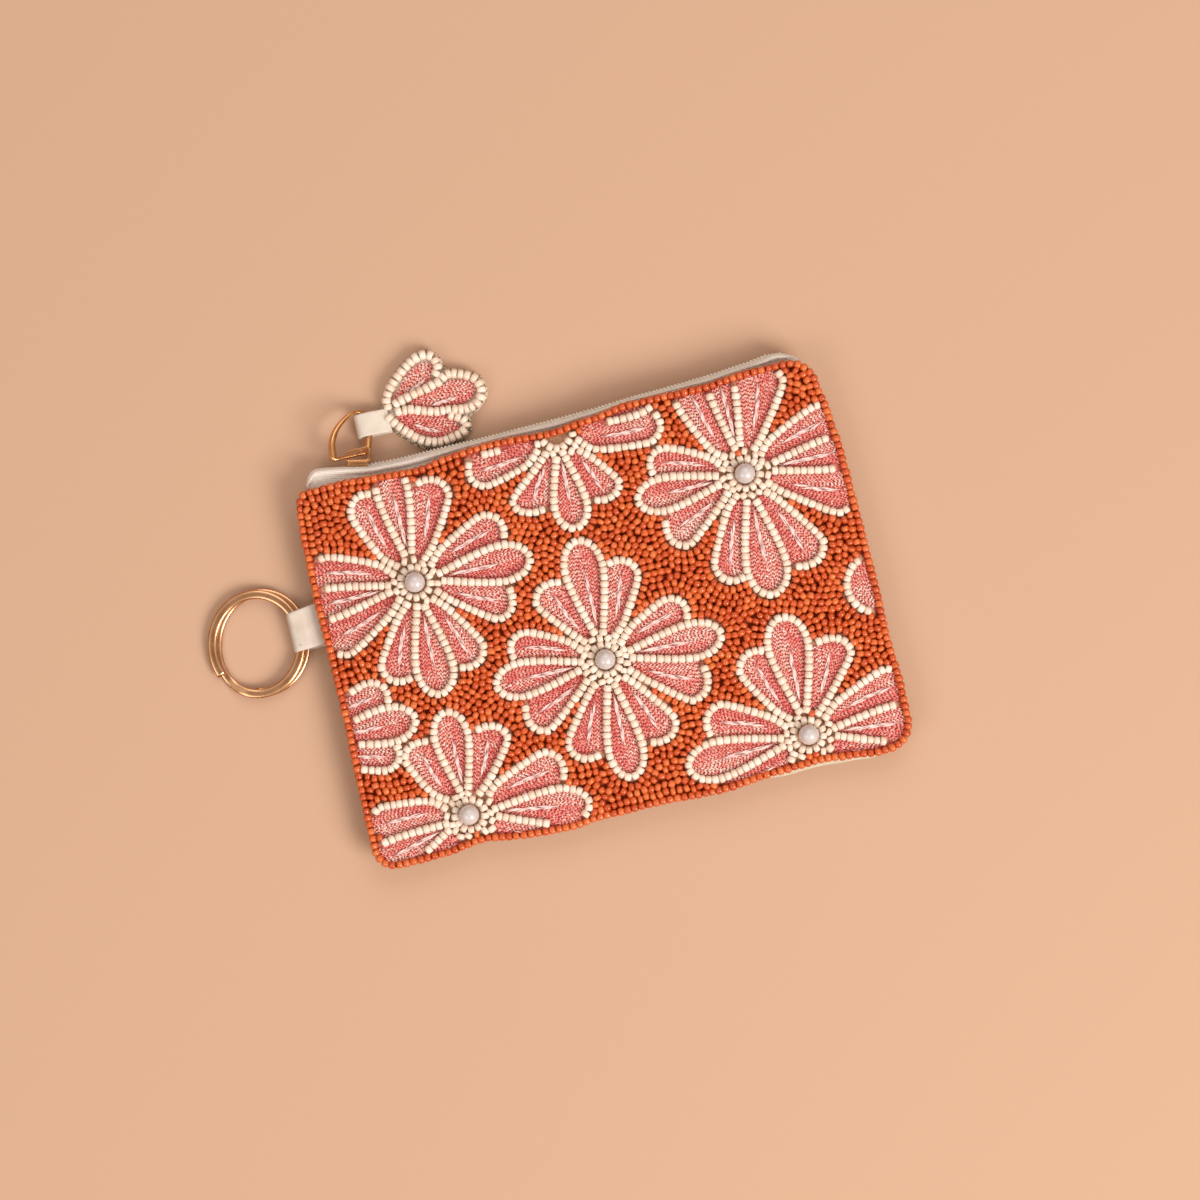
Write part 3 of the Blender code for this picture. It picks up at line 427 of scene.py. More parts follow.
points, faces = closed_sheet(plan, top - CANVAS_THICK, top, 0.3)
cream = np.tile(linear(CLOTH), (len(points), 1))
cream[:top.size] = ground.reshape(-1, 4)
front = make_piece("front_canvas", points, faces, canvas, "canvas", attributes={"ground": cream})
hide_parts("front_panel")

# Petal embroidery
# Cotton floss in chain stitch, worked round and round inside each petal's outline, so the rows echo
# it. Each link is a short slanted loop. A few long straight stitches of near white floss mark the
# middle of the petal.
STITCH_ROW = 0.42
STITCH_STEP = 0.95
STITCH_ROWS = 14
STITCH_SLANT = 24.0
# The first row's depth inside the middle of the beads round a petal, and how far stitches keep from the rim
FIRST_ROW = 1.15
RIM_CLEAR = 1.65
LINK_SIZE = (1.25, 0.50, 0.40)
LINK_CORNERS = 6
# The long threads of a petal: how far beside its centre line, and from where to where along it
LONG_THREADS = ((0.0, 0.0, 1.0), (0.30, 0.10, 0.84), (-0.30, 0.18, 0.92), (0.12, 0.05, 0.60))
# How many stitches in a row such a thread makes, and how high above the cloth they lie
LONG_STITCHES = 3
LONG_LIFT = 0.92


def repeated(faces, count, corners):
    """The faces of many copies of a mesh: those of copy k have k * corners added to their numbers."""
    return (np.arange(count)[:, None, None] * corners + faces).reshape(-1, faces.shape[1])


def link_mesh(centres, along, up, sizes):
    """Thread links as long pointed grains: along the link its two ends, across it two flanks, and a
    crown and a keel, joined by eight faces. sizes are the length, width and height of each."""
    side = unit(np.cross(up, along))
    ends, flanks, rise = along * sizes[:, :1] / 2, side * sizes[:, 1:2] / 2, up * sizes[:, 2:] / 2
    points = centres[:, None] + np.stack((-ends, ends, -flanks, flanks, rise, -rise), axis=1)
    faces = np.array(((1, 3, 4), (3, 0, 4), (0, 2, 4), (2, 1, 4), (3, 1, 5), (0, 3, 5), (2, 0, 5), (1, 2, 5)))
    return points.reshape(-1, 3), repeated(faces, len(centres), LINK_CORNERS)


def stitch_rows(petal, first):
    """Links on rows inside a petal. Row k runs at depth first + k * STITCH_ROW from the outline: each
    outline point moves inwards by it, and stays if no other part of the outline is nearer."""
    line = evenly(np.vstack((petal, petal[:1])), 0.2)[:-1]
    ahead = unit(np.roll(line, -2, axis=0) - np.roll(line, 2, axis=0))
    area = (line[:, 0] * np.roll(line[:, 1], -1) - np.roll(line[:, 0], -1) * line[:, 1]).sum()
    inwards = np.stack((-ahead[:, 1], ahead[:, 0]), -1) * np.sign(area)
    found = []
    for number in range(STITCH_ROWS):
        depth = first + number * STITCH_ROW
        row = line + inwards * depth
        valid = nearest(row, line) >= depth - 0.05
        if not valid.any():
            break
        reach = np.cumsum(np.linalg.norm(row - np.roll(row, 1, axis=0), axis=1)) + random.uniform(0.0, 1.0)
        chosen = valid & (np.floor(reach / STITCH_STEP) != np.floor(np.roll(reach, 1) / STITCH_STEP))
        slant = math.radians(STITCH_SLANT if number % 2 else -STITCH_SLANT) + random.normal(0.0, 0.16, chosen.sum())
        direction = np.arctan2(ahead[chosen, 1], ahead[chosen, 0]) + slant
        found.append(np.column_stack((row[chosen], direction, np.full(chosen.sum(), number))))
    return np.vstack(found) if found else np.empty((0, 4))


def lay_on(field, plan, direction, lift, tilt):
    """Places in space on a height field, the direction along the surface, and its upward normal."""
    up = normal_at(field, plan)
    centres = np.column_stack((plan, height_at(field, plan))) + up * lift[:, None]
    flat = np.stack((np.cos(direction), np.sin(direction), tilt), axis=-1)
    along = unit(flat - (flat * up).sum(-1, keepdims=True) * up * (1.0 - abs(np.sign(tilt))[:, None]))
    return centres, along, unit(up - (up * along).sum(-1, keepdims=True) * along)


def embroider(name, field, petals, centre_lines, first, keep, slot):
    """Links in every petal and long stitches down its middle, as two pieces. keep says where the
    ground is free of other work. A link's tone is 0.56, 0.1 more or less by its side of the centre
    line, which is painted sheen, plus a tenth of its share of the way out. It lies 0.36 mm high,
    and 0.56 mm from the third row on. Both vary a little by chance."""
    links, tones = [], []
    for petal, centre in zip(petals, centre_lines):
        rows = stitch_rows(petal, first)
        rows = rows[keep(rows[:, :2])]
        if len(rows):
            axis = centre[-1] - centre[0]
            away = rows[:, :2] - centre[0]
            beside = np.sign(axis[0] * away[:, 1] - axis[1] * away[:, 0])
            along = (away @ axis) / (axis @ axis)
            # The 0.1 lighter or darker by side of the centre line is painted sheen: the two slants of stitch catch
            # the light differently
            tone = 0.56 + 0.10 * beside + 0.10 * np.clip(along, -0.5, 1.3) + random.normal(0.0, 0.17, len(rows))
            links.append(rows)
            tones.append(tone + random.normal(0.0, 0.04))
    links, tones = np.vstack(links), np.clip(np.concatenate(tones), 0.0, 1.0)
    count = len(links)
    lift = 0.36 + 0.20 * np.minimum(links[:, 3], 2.0) / 2.0 + random.uniform(-0.05, 0.06, count)
    centres, along, up = lay_on(field, links[:, :2], links[:, 2], lift, random.normal(0.0, 0.12, count))
    sizes = np.array(LINK_SIZE) * random.uniform(0.85, 1.15, (count, 3))
    points, faces = link_mesh(centres, along, up, sizes)
    make_piece(name + "_links", points, faces, floss, slot, attributes={"tone": np.repeat(tones, LINK_CORNERS)})
    long = []
    for centre in centre_lines:
        line = smooth_through(centre, 0.3) if len(centre) > 2 else evenly(centre, 0.3)
        direction = np.arctan2(*(line[-1] - line[0])[::-1])
        across = np.array((-math.sin(direction), math.cos(direction)))
        for offset, start, end in LONG_THREADS:
            places = start + (end - start) * (np.arange(LONG_STITCHES) + 0.5) / LONG_STITCHES
            spots = line[(places * (len(line) - 1)).astype(int)] + across * offset
            turns = direction + random.normal(0.0, 0.05, LONG_STITCHES)
            step = np.linalg.norm(line[-1] - line[0]) * (end - start) / LONG_STITCHES
            long.append(np.column_stack((spots, turns, np.full(LONG_STITCHES, 1.5 * step))))
    long = np.vstack(long)
    long = long[keep(long[:, :2])]
    count = len(long)
    centres, along, up = lay_on(field, long[:, :2], long[:, 2], np.full(count, LONG_LIFT), np.zeros(count))
    sizes = np.column_stack((long[:, 3], random.uniform(0.38, 0.52, count), np.full(count, 0.42)))
    points, faces = link_mesh(centres, along, up, sizes)
    make_piece(name + "_centre_threads", points, faces, pale_floss, slot)


def toned(name, stops, **sockets):
    """A material whose colour runs along the stops with each stitch's or bead's own tone, from 0 to 1."""
    material, tree, shader = new_material(name, **sockets)
    tone = add(tree, "ShaderNodeAttribute", {"attribute_name": "tone"})
    ramp = add(tree, "ShaderNodeValToRGB", links={"Fac": tone.outputs["Fac"]}, stops=stops)
    feed(shader, {"Base Color": ramp.outputs["Color"]})
    return material


def mottled(name, noise, stops, **sockets):
    """A material whose colour runs along the stops with a noise that is fixed to its piece. Gives its
    tree, its shader and the noise's value too, for what else goes by them."""
    material, tree, shader = new_material(name, **sockets)
    place = add(tree, "ShaderNodeTexCoord")
    value = add(tree, "ShaderNodeTexNoise", noise, {"Vector": place.outputs["Object"]}).outputs["Fac"]
    ramp = add(tree, "ShaderNodeValToRGB", links={"Fac": value}, stops=stops)
    feed(shader, {"Base Color": ramp.outputs["Color"]})
    return material, tree, shader, value


# Mercerised cotton floss: soft lustre along each thread, from deep rose to nearly white pink
floss = toned("mercerised_cotton_floss", ((0.0, "#D94D4D"), (0.35, "#F27670"), (0.6, "#FD9C90"),
                                          (0.82, "#FFC2B5"), (1.0, "#FFE4DA")),
              Roughness=0.55, Sheen_Weight=0.35, Sheen_Roughness=0.4)
pale_floss = mottled("pale_cotton_floss", {"Scale": 1500.0}, ((0.0, "#F3B9B4"), (1.0, "#FFF0EC")),
                     Roughness=0.5, Sheen_Weight=0.4)[0]

embroider("petal", front_field, stitched_petals, [centre for _, _, lines in flowers for centre in lines], FIRST_ROW,
          lambda spots: depth_in(spots, bead_rim) > RIM_CLEAR, "seed_beads")

# Cream seed beads
# Pearlised glass beads, about 2.2 mm across and 1.7 mm long, with rounded ends. They are threaded and
# couched down in single rows round each petal, and fill the ground round each flower's pearl.
CREAM_WIDE = 2.2
CREAM_LONG = 1.66
# The nearest that two beads of the rows may be, and the nearest of those that fill a flower's middle
CREAM_APART = (1.22, 1.50)
CREAM_DEPTH = 2.75
# The ring of beads round a pearl: how many, how far from its middle, and the first one's angle
PEARL_RING = (13, 3.75, 0.2)
BEAD_SIDES = 10
BEAD_PROFILE = ((0.36, 0.74), (0.70, 1.0), (0.97, 0.60), (0.97, -0.60), (0.70, -1.0), (0.36, -0.74))


def between(here, after):
    """Quads from the points of some rings to the same points of the next rings, and on to their neighbours."""
    return np.stack((here, after, np.roll(after, -1, axis=1), np.roll(here, -1, axis=1)), -1).reshape(-1, 4)


def bead_mesh(centres, along, up, widths, lengths, profile):
    """Beads as one closed profile turned round the hole: each profile point is a share of the bead's
    radius and of half its length, set at ten angles from the bead's up."""
    turn = np.arange(BEAD_SIDES) * 2 * np.pi / BEAD_SIDES
    radius, reach = np.array(profile).T
    side = np.cross(up, along)
    spoke = up[:, None] * np.cos(turn)[None, :, None] + side[:, None] * np.sin(turn)[None, :, None]
    points = (centres[:, None, None] + along[:, None, None] * (reach[:, None] * lengths[:, None, None] / 2)[..., None]
              + spoke[:, None] * (radius[:, None] * widths[:, None, None] / 2)[..., None])
    ring = np.arange(len(radius) * BEAD_SIDES).reshape(len(radius), BEAD_SIDES)
    return points.reshape(-1, 3), repeated(between(ring, np.roll(ring, -1, axis=0)), len(centres), ring.size)


def thread_on(line, pitch, spread):
    """Beads nose to tail from the start of a line, each as long as pitch, give or take the spread."""
    length = distances(line)[-1]
    lengths = np.clip(random.normal(pitch, spread, int(length / pitch) + 2), 0.8 * pitch, 1.25 * pitch)
    places = np.cumsum(lengths) - lengths / 2
    lengths, places = lengths[places < length], places[places < length]
    ahead = points_at(places + 0.3, line) - points_at(places - 0.3, line)
    return np.column_stack((points_at(places, line), np.arctan2(ahead[:, 1], ahead[:, 0]), lengths))


def without_clashes(beads, closest):
    """Beads in order, less those that lie nearer than closest to one that is kept."""
    kept = []
    for bead in beads:
        if not kept or ((np.array(kept)[:, :2] - bead[:2]) ** 2).sum(1).min() > closest ** 2:
            kept.append(bead)
    return np.array(kept)


def fill_gaps(spots, beads, closest, pitch):
    """Loose beads at any angle, one after another at the spot that is furthest from all others."""
    free = nearest(spots, beads[:, :2])
    added = []
    while len(spots) and free.max() > closest:
        spot = spots[free.argmax()]
        added.append((*spot, random.uniform(0.0, np.pi), random.normal(pitch, 0.08)))
        free = np.minimum(free, np.linalg.norm(spots - spot, axis=1))
    return np.array(added).reshape(-1, 4)


cream_beads = []
for middle, (rows, _, _) in zip(flower_middles, flowers):
    count, radius, first = PEARL_RING
    turn = np.arange(count) * 2 * np.pi / count + first
    cream_beads.append(np.column_stack((middle[0] + radius * np.cos(turn), middle[1] + radius * np.sin(turn),
                                        turn + np.pi / 2, np.full(count, CREAM_LONG))))
    for row in sorted(rows, key=lambda line: -np.linalg.norm(line - middle, axis=1).max()):
        tip = np.linalg.norm(row - middle, axis=1).argmax()
        halves = (row[tip:], row[tip::-1]) if np.linalg.norm(row[0] - row[-1]) < 4.0 else (row[::-1],)
        cream_beads += [thread_on(half, CREAM_LONG + 0.06, 0.12) for half in halves]
cream_beads = np.vstack(cream_beads)
cream_beads = without_clashes(cream_beads[depth_in(cream_beads[:, :2], bead_rim) > CREAM_DEPTH], CREAM_APART[0])

# A raster over the panel for the beads that are not in the rows. The core is the ground round a pearl,
# from 3.6 to 12 mm from its middle and outside the petals.
STEP = 0.4
raster = np.stack(np.meshgrid(np.arange(-72.0, 72.0, STEP), np.arange(-53.0, 55.0, STEP)), axis=-1)
depth = depth_in(raster, bead_rim)
covered = in_any(raster, petals)
from_rows = nearest(raster, bead_lines)
from_middle = nearest(raster, flower_middles)
core = (from_middle > 3.6) & (from_middle < 12.0) & (depth > 2.8) & ~(covered & (from_rows > 1.0))
cream_beads = np.vstack((cream_beads, fill_gaps(raster[core], cream_beads, CREAM_APART[1], 1.5)))


def sew_beads(name, field, beads, wide, long_share, profile, material, slot, spread=0.04, tilt=0.06):
    """Beads on a height field as one piece, each with a tone of its own."""
    count = len(beads)
    widths = wide * random.normal(1.0, spread, count)
    centres, along, up = lay_on(field, beads[:, :2], beads[:, 2] + random.normal(0.0, tilt, count),
                                widths / 2 + 0.03, random.normal(0.0, tilt, count))
    points, faces = bead_mesh(centres, along, up, widths, beads[:, 3] * long_share, profile)
    tones = np.repeat(random.uniform(0.0, 1.0, count), len(profile) * BEAD_SIDES)
    return make_piece(name, points, faces, material, slot, attributes={"tone": tones})


# Pearlised glass: milky cream that lets a little light in, under a bright thin coat
pearlised = toned("pearlised_cream_glass", ((0.0, "#EDD5C2"), (0.5, "#F5DFCD"), (1.0, "#FBEADC")),
                  Roughness=0.28, IOR=1.5, Coat_Weight=0.6, Coat_Roughness=0.12, Subsurface_Weight=0.25,
                  Subsurface_Scale=0.6 * MM, Subsurface_Radius=(1.0, 0.85, 0.7))
sew_beads("cream_seed_beads", front_field, cream_beads, CREAM_WIDE, 0.97, BEAD_PROFILE, pearlised, "seed_beads")

# Orange seed beads
# Opaque dyed glass beads, rounder than the cream ones and 2.1 mm across. One row is threaded along the
# edge of the whole panel. The rest fill the ground in rows that echo the flowers, and lie less evenly.
ORANGE_WIDE = 2.1
ORANGE_LONG = 1.62
# The pitch of the border row and the nearest that two of its beads may be
BORDER_PITCH = (1.80, 1.3)
# The filling's pitch along a row, from row to row, and the nearest that a new bead may be. Then the gaps
# that are filled with loose beads, the widest first, and how far apart the beads are eased.
FILL_PITCH = (1.68, 1.86, 1.50)
FILL_GAPS = (1.42, 1.36, 1.34)
FILL_APART = (1.78, 1.80)
EASE_ROUNDS = 12
# How far inside the rim the raster's spots may be filled, and how far an eased bead may lie
ORANGE_DEPTH = (2.35, 2.3)
ROUND_PROFILE = ((0.34, 0.62), (0.66, 0.98), (0.96, 0.46), (0.96, -0.46), (0.66, -0.98), (0.34, -0.62))

inset = bead_rim - outwards(bead_rim)
inset = inset[nearest(inset, bead_rim) > 0.95]
border_beads = without_clashes(thread_on(np.vstack((inset, inset[:1])), BORDER_PITCH[0], 0.06), BORDER_PITCH[1])

# Echo is the distance from the line on which the first row beside the flowers or the border lies. The
# open ground is where orange beads may be.
echo = np.minimum(from_rows - 2.0, depth - 2.95)
slope_y, slope_x = np.gradient(echo, STEP)
open_ground = ~covered & (from_middle > 5.0) & (depth > ORANGE_DEPTH[0])


def echo_at(values, spot):
    """One of the raster's fields, read between its points."""
    return height_at((raster[0, :, 0], raster[:, 0, 1], values), spot)


def slope_at(spot):
    """The way in which echo grows at a spot."""
    return np.array((echo_at(slope_x, spot), echo_at(slope_y, spot)))


def fill_by_echo(fixed, pitch, row_gap, closest):
    """Rows of beads along lines of equal distance from the flowers and the border. Each row starts at
    the free spot next to a bead, and takes steps of one pitch along the line until it is blocked."""
    placed = np.zeros((4000, 2))
    placed[:len(fixed)] = fixed[:, :2]
    count = len(fixed)
    free = nearest(raster, fixed[:, :2])
    for level in np.arange(0.02, 20.0, row_gap):
        band = (abs(echo - level) < 0.45) & open_ground
        while True:
            seeds = band & (free > closest)
            if not seeds.any():
                break
            start = raster[np.unravel_index(np.where(seeds, free, np.inf).argmin(), free.shape)]
            spots = [start]
            for way in (1.0, -1.0):
                spot = start
                while True:
                    slope = slope_at(spot)
                    spot = spot + way * pitch * np.array((-slope[1], slope[0])) / (np.hypot(*slope) + 1e-6)
                    slope = slope_at(spot)
                    spot = spot - 0.8 * slope * (echo_at(echo, spot) - level) / (slope @ slope + 0.05)
                    others = np.vstack((placed[:count], spots))
                    if (((others - spot) ** 2).sum(1).min() < closest ** 2
                            or echo_at(open_ground * 1.0, spot) < 0.5 or echo_at(echo, spot) < -0.15):
                        break
                    spots.append(spot)
            placed[count:count + len(spots)] = spots
            count += len(spots)
            free = np.minimum(free, nearest(raster, np.array(spots)))
    return placed[len(fixed):count]


def ease_apart(spots, fixed, apart):
    """Loose beads push each other, and are pushed by the fixed ones, until none is nearer than apart."""
    for _ in range(EASE_ROUNDS):
        away = spots[:, None] - np.vstack((fixed[:, :2], spots))[None]
        far = np.linalg.norm(away, axis=-1)
        far[np.arange(len(spots)), len(fixed) + np.arange(len(spots))] = np.inf
        spots = spots + 0.3 * (away / (far[..., None] + 1e-9) * np.clip(apart - far, 0.0, None)[..., None]).sum(1)
    return spots


fixed = np.vstack((cream_beads, border_beads))
filling = ease_apart(fill_by_echo(fixed, *FILL_PITCH), fixed, FILL_APART[0])
filling = np.column_stack((filling, np.zeros(len(filling)), random.normal(ORANGE_LONG, 0.12, len(filling))))
for closest in FILL_GAPS:
    loose = fill_gaps(raster[open_ground & (echo > -0.6)], np.vstack((fixed, filling)), closest, ORANGE_LONG)
    filling = np.vstack((filling, loose))
    filling[:, :2] = ease_apart(filling[:, :2], fixed, FILL_APART[1])
filling = filling[depth_in(filling[:, :2], bead_rim) > ORANGE_DEPTH[1]]
slopes = slope_at(filling[:, :2])
filling[:, 2] = np.arctan2(slopes[0], -slopes[1]) + random.normal(0.0, 0.28, len(filling))

# Opaque orange glass: saturated and shiny, a little lighter or darker from bead to bead
orange_glass = toned("opaque_orange_glass", ((0.0, "#C24B1A"), (0.5, "#D25A25"), (1.0, "#E07238")),
                     Roughness=0.22, IOR=1.52, Coat_Weight=0.25, Coat_Roughness=0.08, Subsurface_Weight=0.12,
                     Subsurface_Scale=0.5 * MM, Subsurface_Radius=(1.0, 0.35, 0.12))
orange_beads = np.vstack((border_beads, filling))
orange_piece = sew_beads("orange_seed_beads", front_field, orange_beads, ORANGE_WIDE, 0.98, ROUND_PROFILE,
                         orange_glass, "seed_beads", spread=0.05, tilt=0.12)
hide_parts("bead_field")

# Pearls
# Five round imitation pearls, 5.1 mm across, one sewn at the middle of each whole flower. A glass or
# plastic core with a smooth lacquered coat.
pearl_middles = np.array([[(a + b) / 2 for a, b in zip(*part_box(f"pearl_{number}"))] for number in range(1, 6)]) / MM
PEARL_WIDE = 5.1
# A ball's rings between its poles, and the points of each ring
GLOBE_NET = (15, 32)


def globe_mesh(centres, radius):
    """Balls as a half circle turned round: a point at angle a down from the top and b round it is
    radius * (sin a cos b, sin a sin b, cos a). The caps are fans to a point at each end."""
    rings, sides = GLOBE_NET
    down, around = np.meshgrid(np.linspace(0, np.pi, rings + 2)[1:-1], np.arange(sides) * 2 * np.pi / sides,
                               indexing="ij")
    shell = np.stack((np.sin(down) * np.cos(around), np.sin(down) * np.sin(around), np.cos(down)), -1).reshape(-1, 3)
    ball = np.vstack((shell, ((0, 0, 1), (0, 0, -1)))) * radius
    ring = np.arange(rings * sides).reshape(rings, sides)
    caps = np.vstack((np.stack((ring[0], np.roll(ring[0], -1), np.full(sides, ring.size)), -1),
                      np.stack((np.roll(ring[-1], -1), ring[-1], np.full(sides, ring.size + 1)), -1)))
    return (centres[:, None] + ball).reshape(-1, 3), [repeated(faces, len(centres), len(ball))
                                                      for faces in (between(ring[:-1], ring[1:]), caps)]


# Pearl lacquer: silky, pale, with a soft wide highlight under a thin gloss
lacquer, tree, shader = new_material("pearl_lacquer", Base_Color=linear("#CFC7C6"), Roughness=0.3, IOR=1.6,
                                     Coat_Weight=0.7, Coat_Roughness=0.1, Subsurface_Weight=0.3,
                                     Subsurface_Scale=1.0 * MM, Subsurface_Radius=(1.0, 0.85, 0.75))
place = add(tree, "ShaderNodeTexCoord")
cloud = add(tree, "ShaderNodeTexNoise", {"Scale": 260.0, "Detail": 2.0}, {"Vector": place.outputs["Object"]})
bump = add(tree, "ShaderNodeBump", {"Strength": 0.05, "Distance": 0.1 * MM}, {"Height": cloud.outputs["Fac"]})
feed(shader, {"Normal": bump.outputs["Normal"]})
points, faces = globe_mesh(pearl_middles, PEARL_WIDE / 2)
pearls = make_piece("sewn_pearls", points, faces, lacquer, "pearl")
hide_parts(*[f"pearl_{number}" for number in range(1, 6)])

# Zip tapes
# Two cream tapes of cotton and polyester, woven in fine cords along the zip. Each is sewn under its
# panel's top edge, stands out past the beads and closes over the coil with a rounded fold.
TAPE_CORD = 0.50
TAPE_PICK = 0.42


def tape_net(node):
    """A packed tape has stations along it, each with four places across it at two levels. A Catmull-Rom
    curve joins the stations, and another across them, whose weights are those of the curve through
    four unit vectors. Gives the plan and the two sides, with y up the rows and x along the columns."""
    points = np.unique(np.round(packed_points(node), 2), axis=0)
    stations = []
    for x in np.unique(points[:, 0]):
        pairs = points[points[:, 0] == x].reshape(4, 2, 3)
        stations.append(np.concatenate(((x,), pairs[:, 0, 1], pairs[:, :, 2].min(1), pairs[:, :, 2].max(1))))
    along = smooth_through(stations, 0.45)
    weights = smooth_through(np.eye(4), 0.23)
    x = np.tile(along[:, 0], (len(weights), 1))
    y, low, high = (weights @ along[:, start:start + 4].T for start in (1, 5, 9))
    return np.stack((x, y), axis=-1), low, high


# Woven tape: matt cream cords side by side, crossed by finer picks, drawn coarse enough to show
tape_weave, tree, shader = new_material("woven_zip_tape", Roughness=0.8, Sheen_Weight=0.4, Sheen_Roughness=0.5)
across = add(tree, "ShaderNodeAttribute", {"attribute_name": "across"})
along = add(tree, "ShaderNodeAttribute", {"attribute_name": "along"})
flat = add(tree, "ShaderNodeCombineXYZ", links={"X": along.outputs["Fac"], "Y": across.outputs["Fac"]})
cords, picks = [add(tree, "ShaderNodeTexWave", {"bands_direction": way, "Scale": 2 * math.pi / pitch / 20,
                                                "Distortion": waver, "Detail": 1.0},
                    {"Vector": flat.outputs[0]}).outputs["Fac"]
                for way, pitch, waver in (("Y", TAPE_CORD, 0.4), ("X", TAPE_PICK, 1.2))]
woven = add(tree, "ShaderNodeMath", {"operation": "MULTIPLY"}, {0: cords, 1: picks})
ramp = add(tree, "ShaderNodeValToRGB", links={"Fac": woven.outputs[0]},
           stops=((0.0, "#DDD1C5"), (0.3, "#FAF3EB"), (1.0, "#FFFDF9")))
bump = add(tree, "ShaderNodeBump", {"Strength": 0.8, "Distance": 0.12 * MM}, {"Height": woven.outputs[0]})
feed(shader, {"Base Color": ramp.outputs["Color"], "Normal": bump.outputs["Normal"]})

# The folded lip over the coil, and the groove below it: how high, how far from the tip and how wide
FOLD, GROOVE = (0.75, 0.9, 0.8), (0.25, 1.9, 0.25)
for node in ("zip_tape_front", "zip_tape_back"):
    plan, low, high = tape_net(node)
    from_tip = plan[-1:, :, 1] - plan[..., 1]
    rise, dent = [amount * np.exp(-((from_tip - far) / wide) ** 2) for amount, far, wide in (FOLD, GROOVE)]
    fold = rise - dent
    droop = 0.35 * np.exp(-from_tip / 0.25)
    slub = 0.05 * np.sin(plan[..., 0] * 1.7) * np.sin(plan[..., 0] * 0.61 + plan[..., 1])
    if node == "zip_tape_front":
        high, low = high + fold - droop + slub, low - droop + slub
    else:
        high, low = high + droop + slub, low - fold + droop + slub
    points, faces = closed_sheet(plan, low, high, 0.25)
    reach = np.interp(points[:, 0], plan[0, :, 0], from_tip.max() + plan[-1, :, 1])
    tape = make_piece(node.replace("zip_tape", "woven_tape"), points, faces, tape_weave, "zip_tape",
                      attributes={"across": reach - points[:, 1], "along": points[:, 0]})
    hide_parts(node)

# Zip coil
# One nylon filament wound into a coil round a cord. Both halves are closed, so it shows as a fine row of
# teeth along the outside of the zip, from the slider to near the other end.
COIL_PITCH = 0.95
COIL_WIRE = 0.58
# The coil's middle behind the crest, its half width and height, and the width and height of its cord
COIL_BACK, COIL_HALF, COIL_CORD = 0.95, (0.54, 0.85), (0.9, 1.3)


def carry(path, across, up, profile, closed=False):
    """A profile carried along a path: a profile point (p, q) goes to path + p * across + q * up. Across
    times up is the way along. The profile runs anticlockwise, and an open end is closed by a fan."""
    profile = profile if profile.ndim == 3 else profile[None]
    ring = path[:, None] + across[:, None] * profile[..., :1] + up[:, None] * profile[..., 1:]
    index = np.arange(ring.shape[0] * ring.shape[1]).reshape(ring.shape[:2])
    here, after = (index, np.roll(index, -1, axis=0)) if closed else (index[:-1], index[1:])
    quads = np.stack((here, np.roll(here, -1, 1), np.roll(after, -1, 1), after), -1).reshape(-1, 4)
    if closed:
        return ring.reshape(-1, 3), [quads]
    middles = index.size + np.arange(2)
    caps = [np.stack((np.full(index.shape[1], middles[0]), np.roll(index[0], -1), index[0]), -1),
            np.stack((np.full(index.shape[1], middles[1]), index[-1], np.roll(index[-1], -1)), -1)]
    return np.vstack((ring.reshape(-1, 3), path[0], path[-1])), [quads, np.vstack(caps)]


def ahead_along(path, closed=False):
    """The unit direction of a path at each of its points."""
    ahead = np.roll(path, -1, axis=0) - np.roll(path, 1, axis=0) if closed else np.gradient(path, axis=0)
    return unit(ahead)


def joined(parts):
    """Several meshes as one: later ones have their corner numbers moved up."""
    points, faces, start = [], [], 0
    for some_points, some_faces in parts:
        points.append(some_points)
        faces += [part + start for part in some_faces]
        start += len(some_points)
    return np.vstack(points), faces


def section(wide, tall, count, power=1.0):
    """A profile whose point at angle a is (wide / 2 * cos a, tall / 2 * sin a). The sine and the cosine are
    raised to a power with their signs kept, and a power below 1 squares the ellipse."""
    turn = np.arange(count) * 2 * np.pi / count
    sides = [np.sign(share) * abs(share) ** power * size / 2.0
             for share, size in ((np.cos(turn), wide), (np.sin(turn), tall))]
    return np.stack(np.broadcast_arrays(*sides), axis=-1)


def wire(path, face, profile, closed=False):
    """A profile carried along a path with its top turned away from face: across is ahead times face."""
    ahead = ahead_along(path, closed)
    side = unit(np.cross(ahead, face))
    return carry(path, side, np.cross(ahead, side), profile, closed)


chain = np.unique(np.round(packed_points("zip_chain"), 2), axis=0)
chain_x = np.unique(chain[:, 0])
chain_crest = np.array([chain[chain[:, 0] == x, 1].max() for x in chain_x])
chain_level = (chain[:, 2].max() + chain[:, 2].min()) / 2.0
turn = np.arange(0.0, (chain_x[-1] - chain_x[0]) / COIL_PITCH * 2 * np.pi, 2 * np.pi / 12)
x = chain_x[0] + turn / (2 * np.pi) * COIL_PITCH
crest = np.interp(x, chain_x, chain_crest)
path = np.column_stack((x, crest - COIL_BACK + COIL_HALF[0] * np.cos(turn),
                        chain_level + COIL_HALF[1] * np.sin(turn)))
ahead = ahead_along(path)
spoke = np.column_stack((np.zeros_like(turn), np.cos(turn), np.sin(turn)))
spoke = unit(spoke - (spoke * ahead).sum(1)[:, None] * ahead)
core = np.column_stack((chain_x, chain_crest - COIL_BACK, np.full(len(chain_x), chain_level)))
coil_parts = (carry(path, spoke, np.cross(ahead, spoke), section(COIL_WIRE, COIL_WIRE, 6)),
              wire(core, (0.0, 0.0, 1.0), section(*COIL_CORD, 10)))

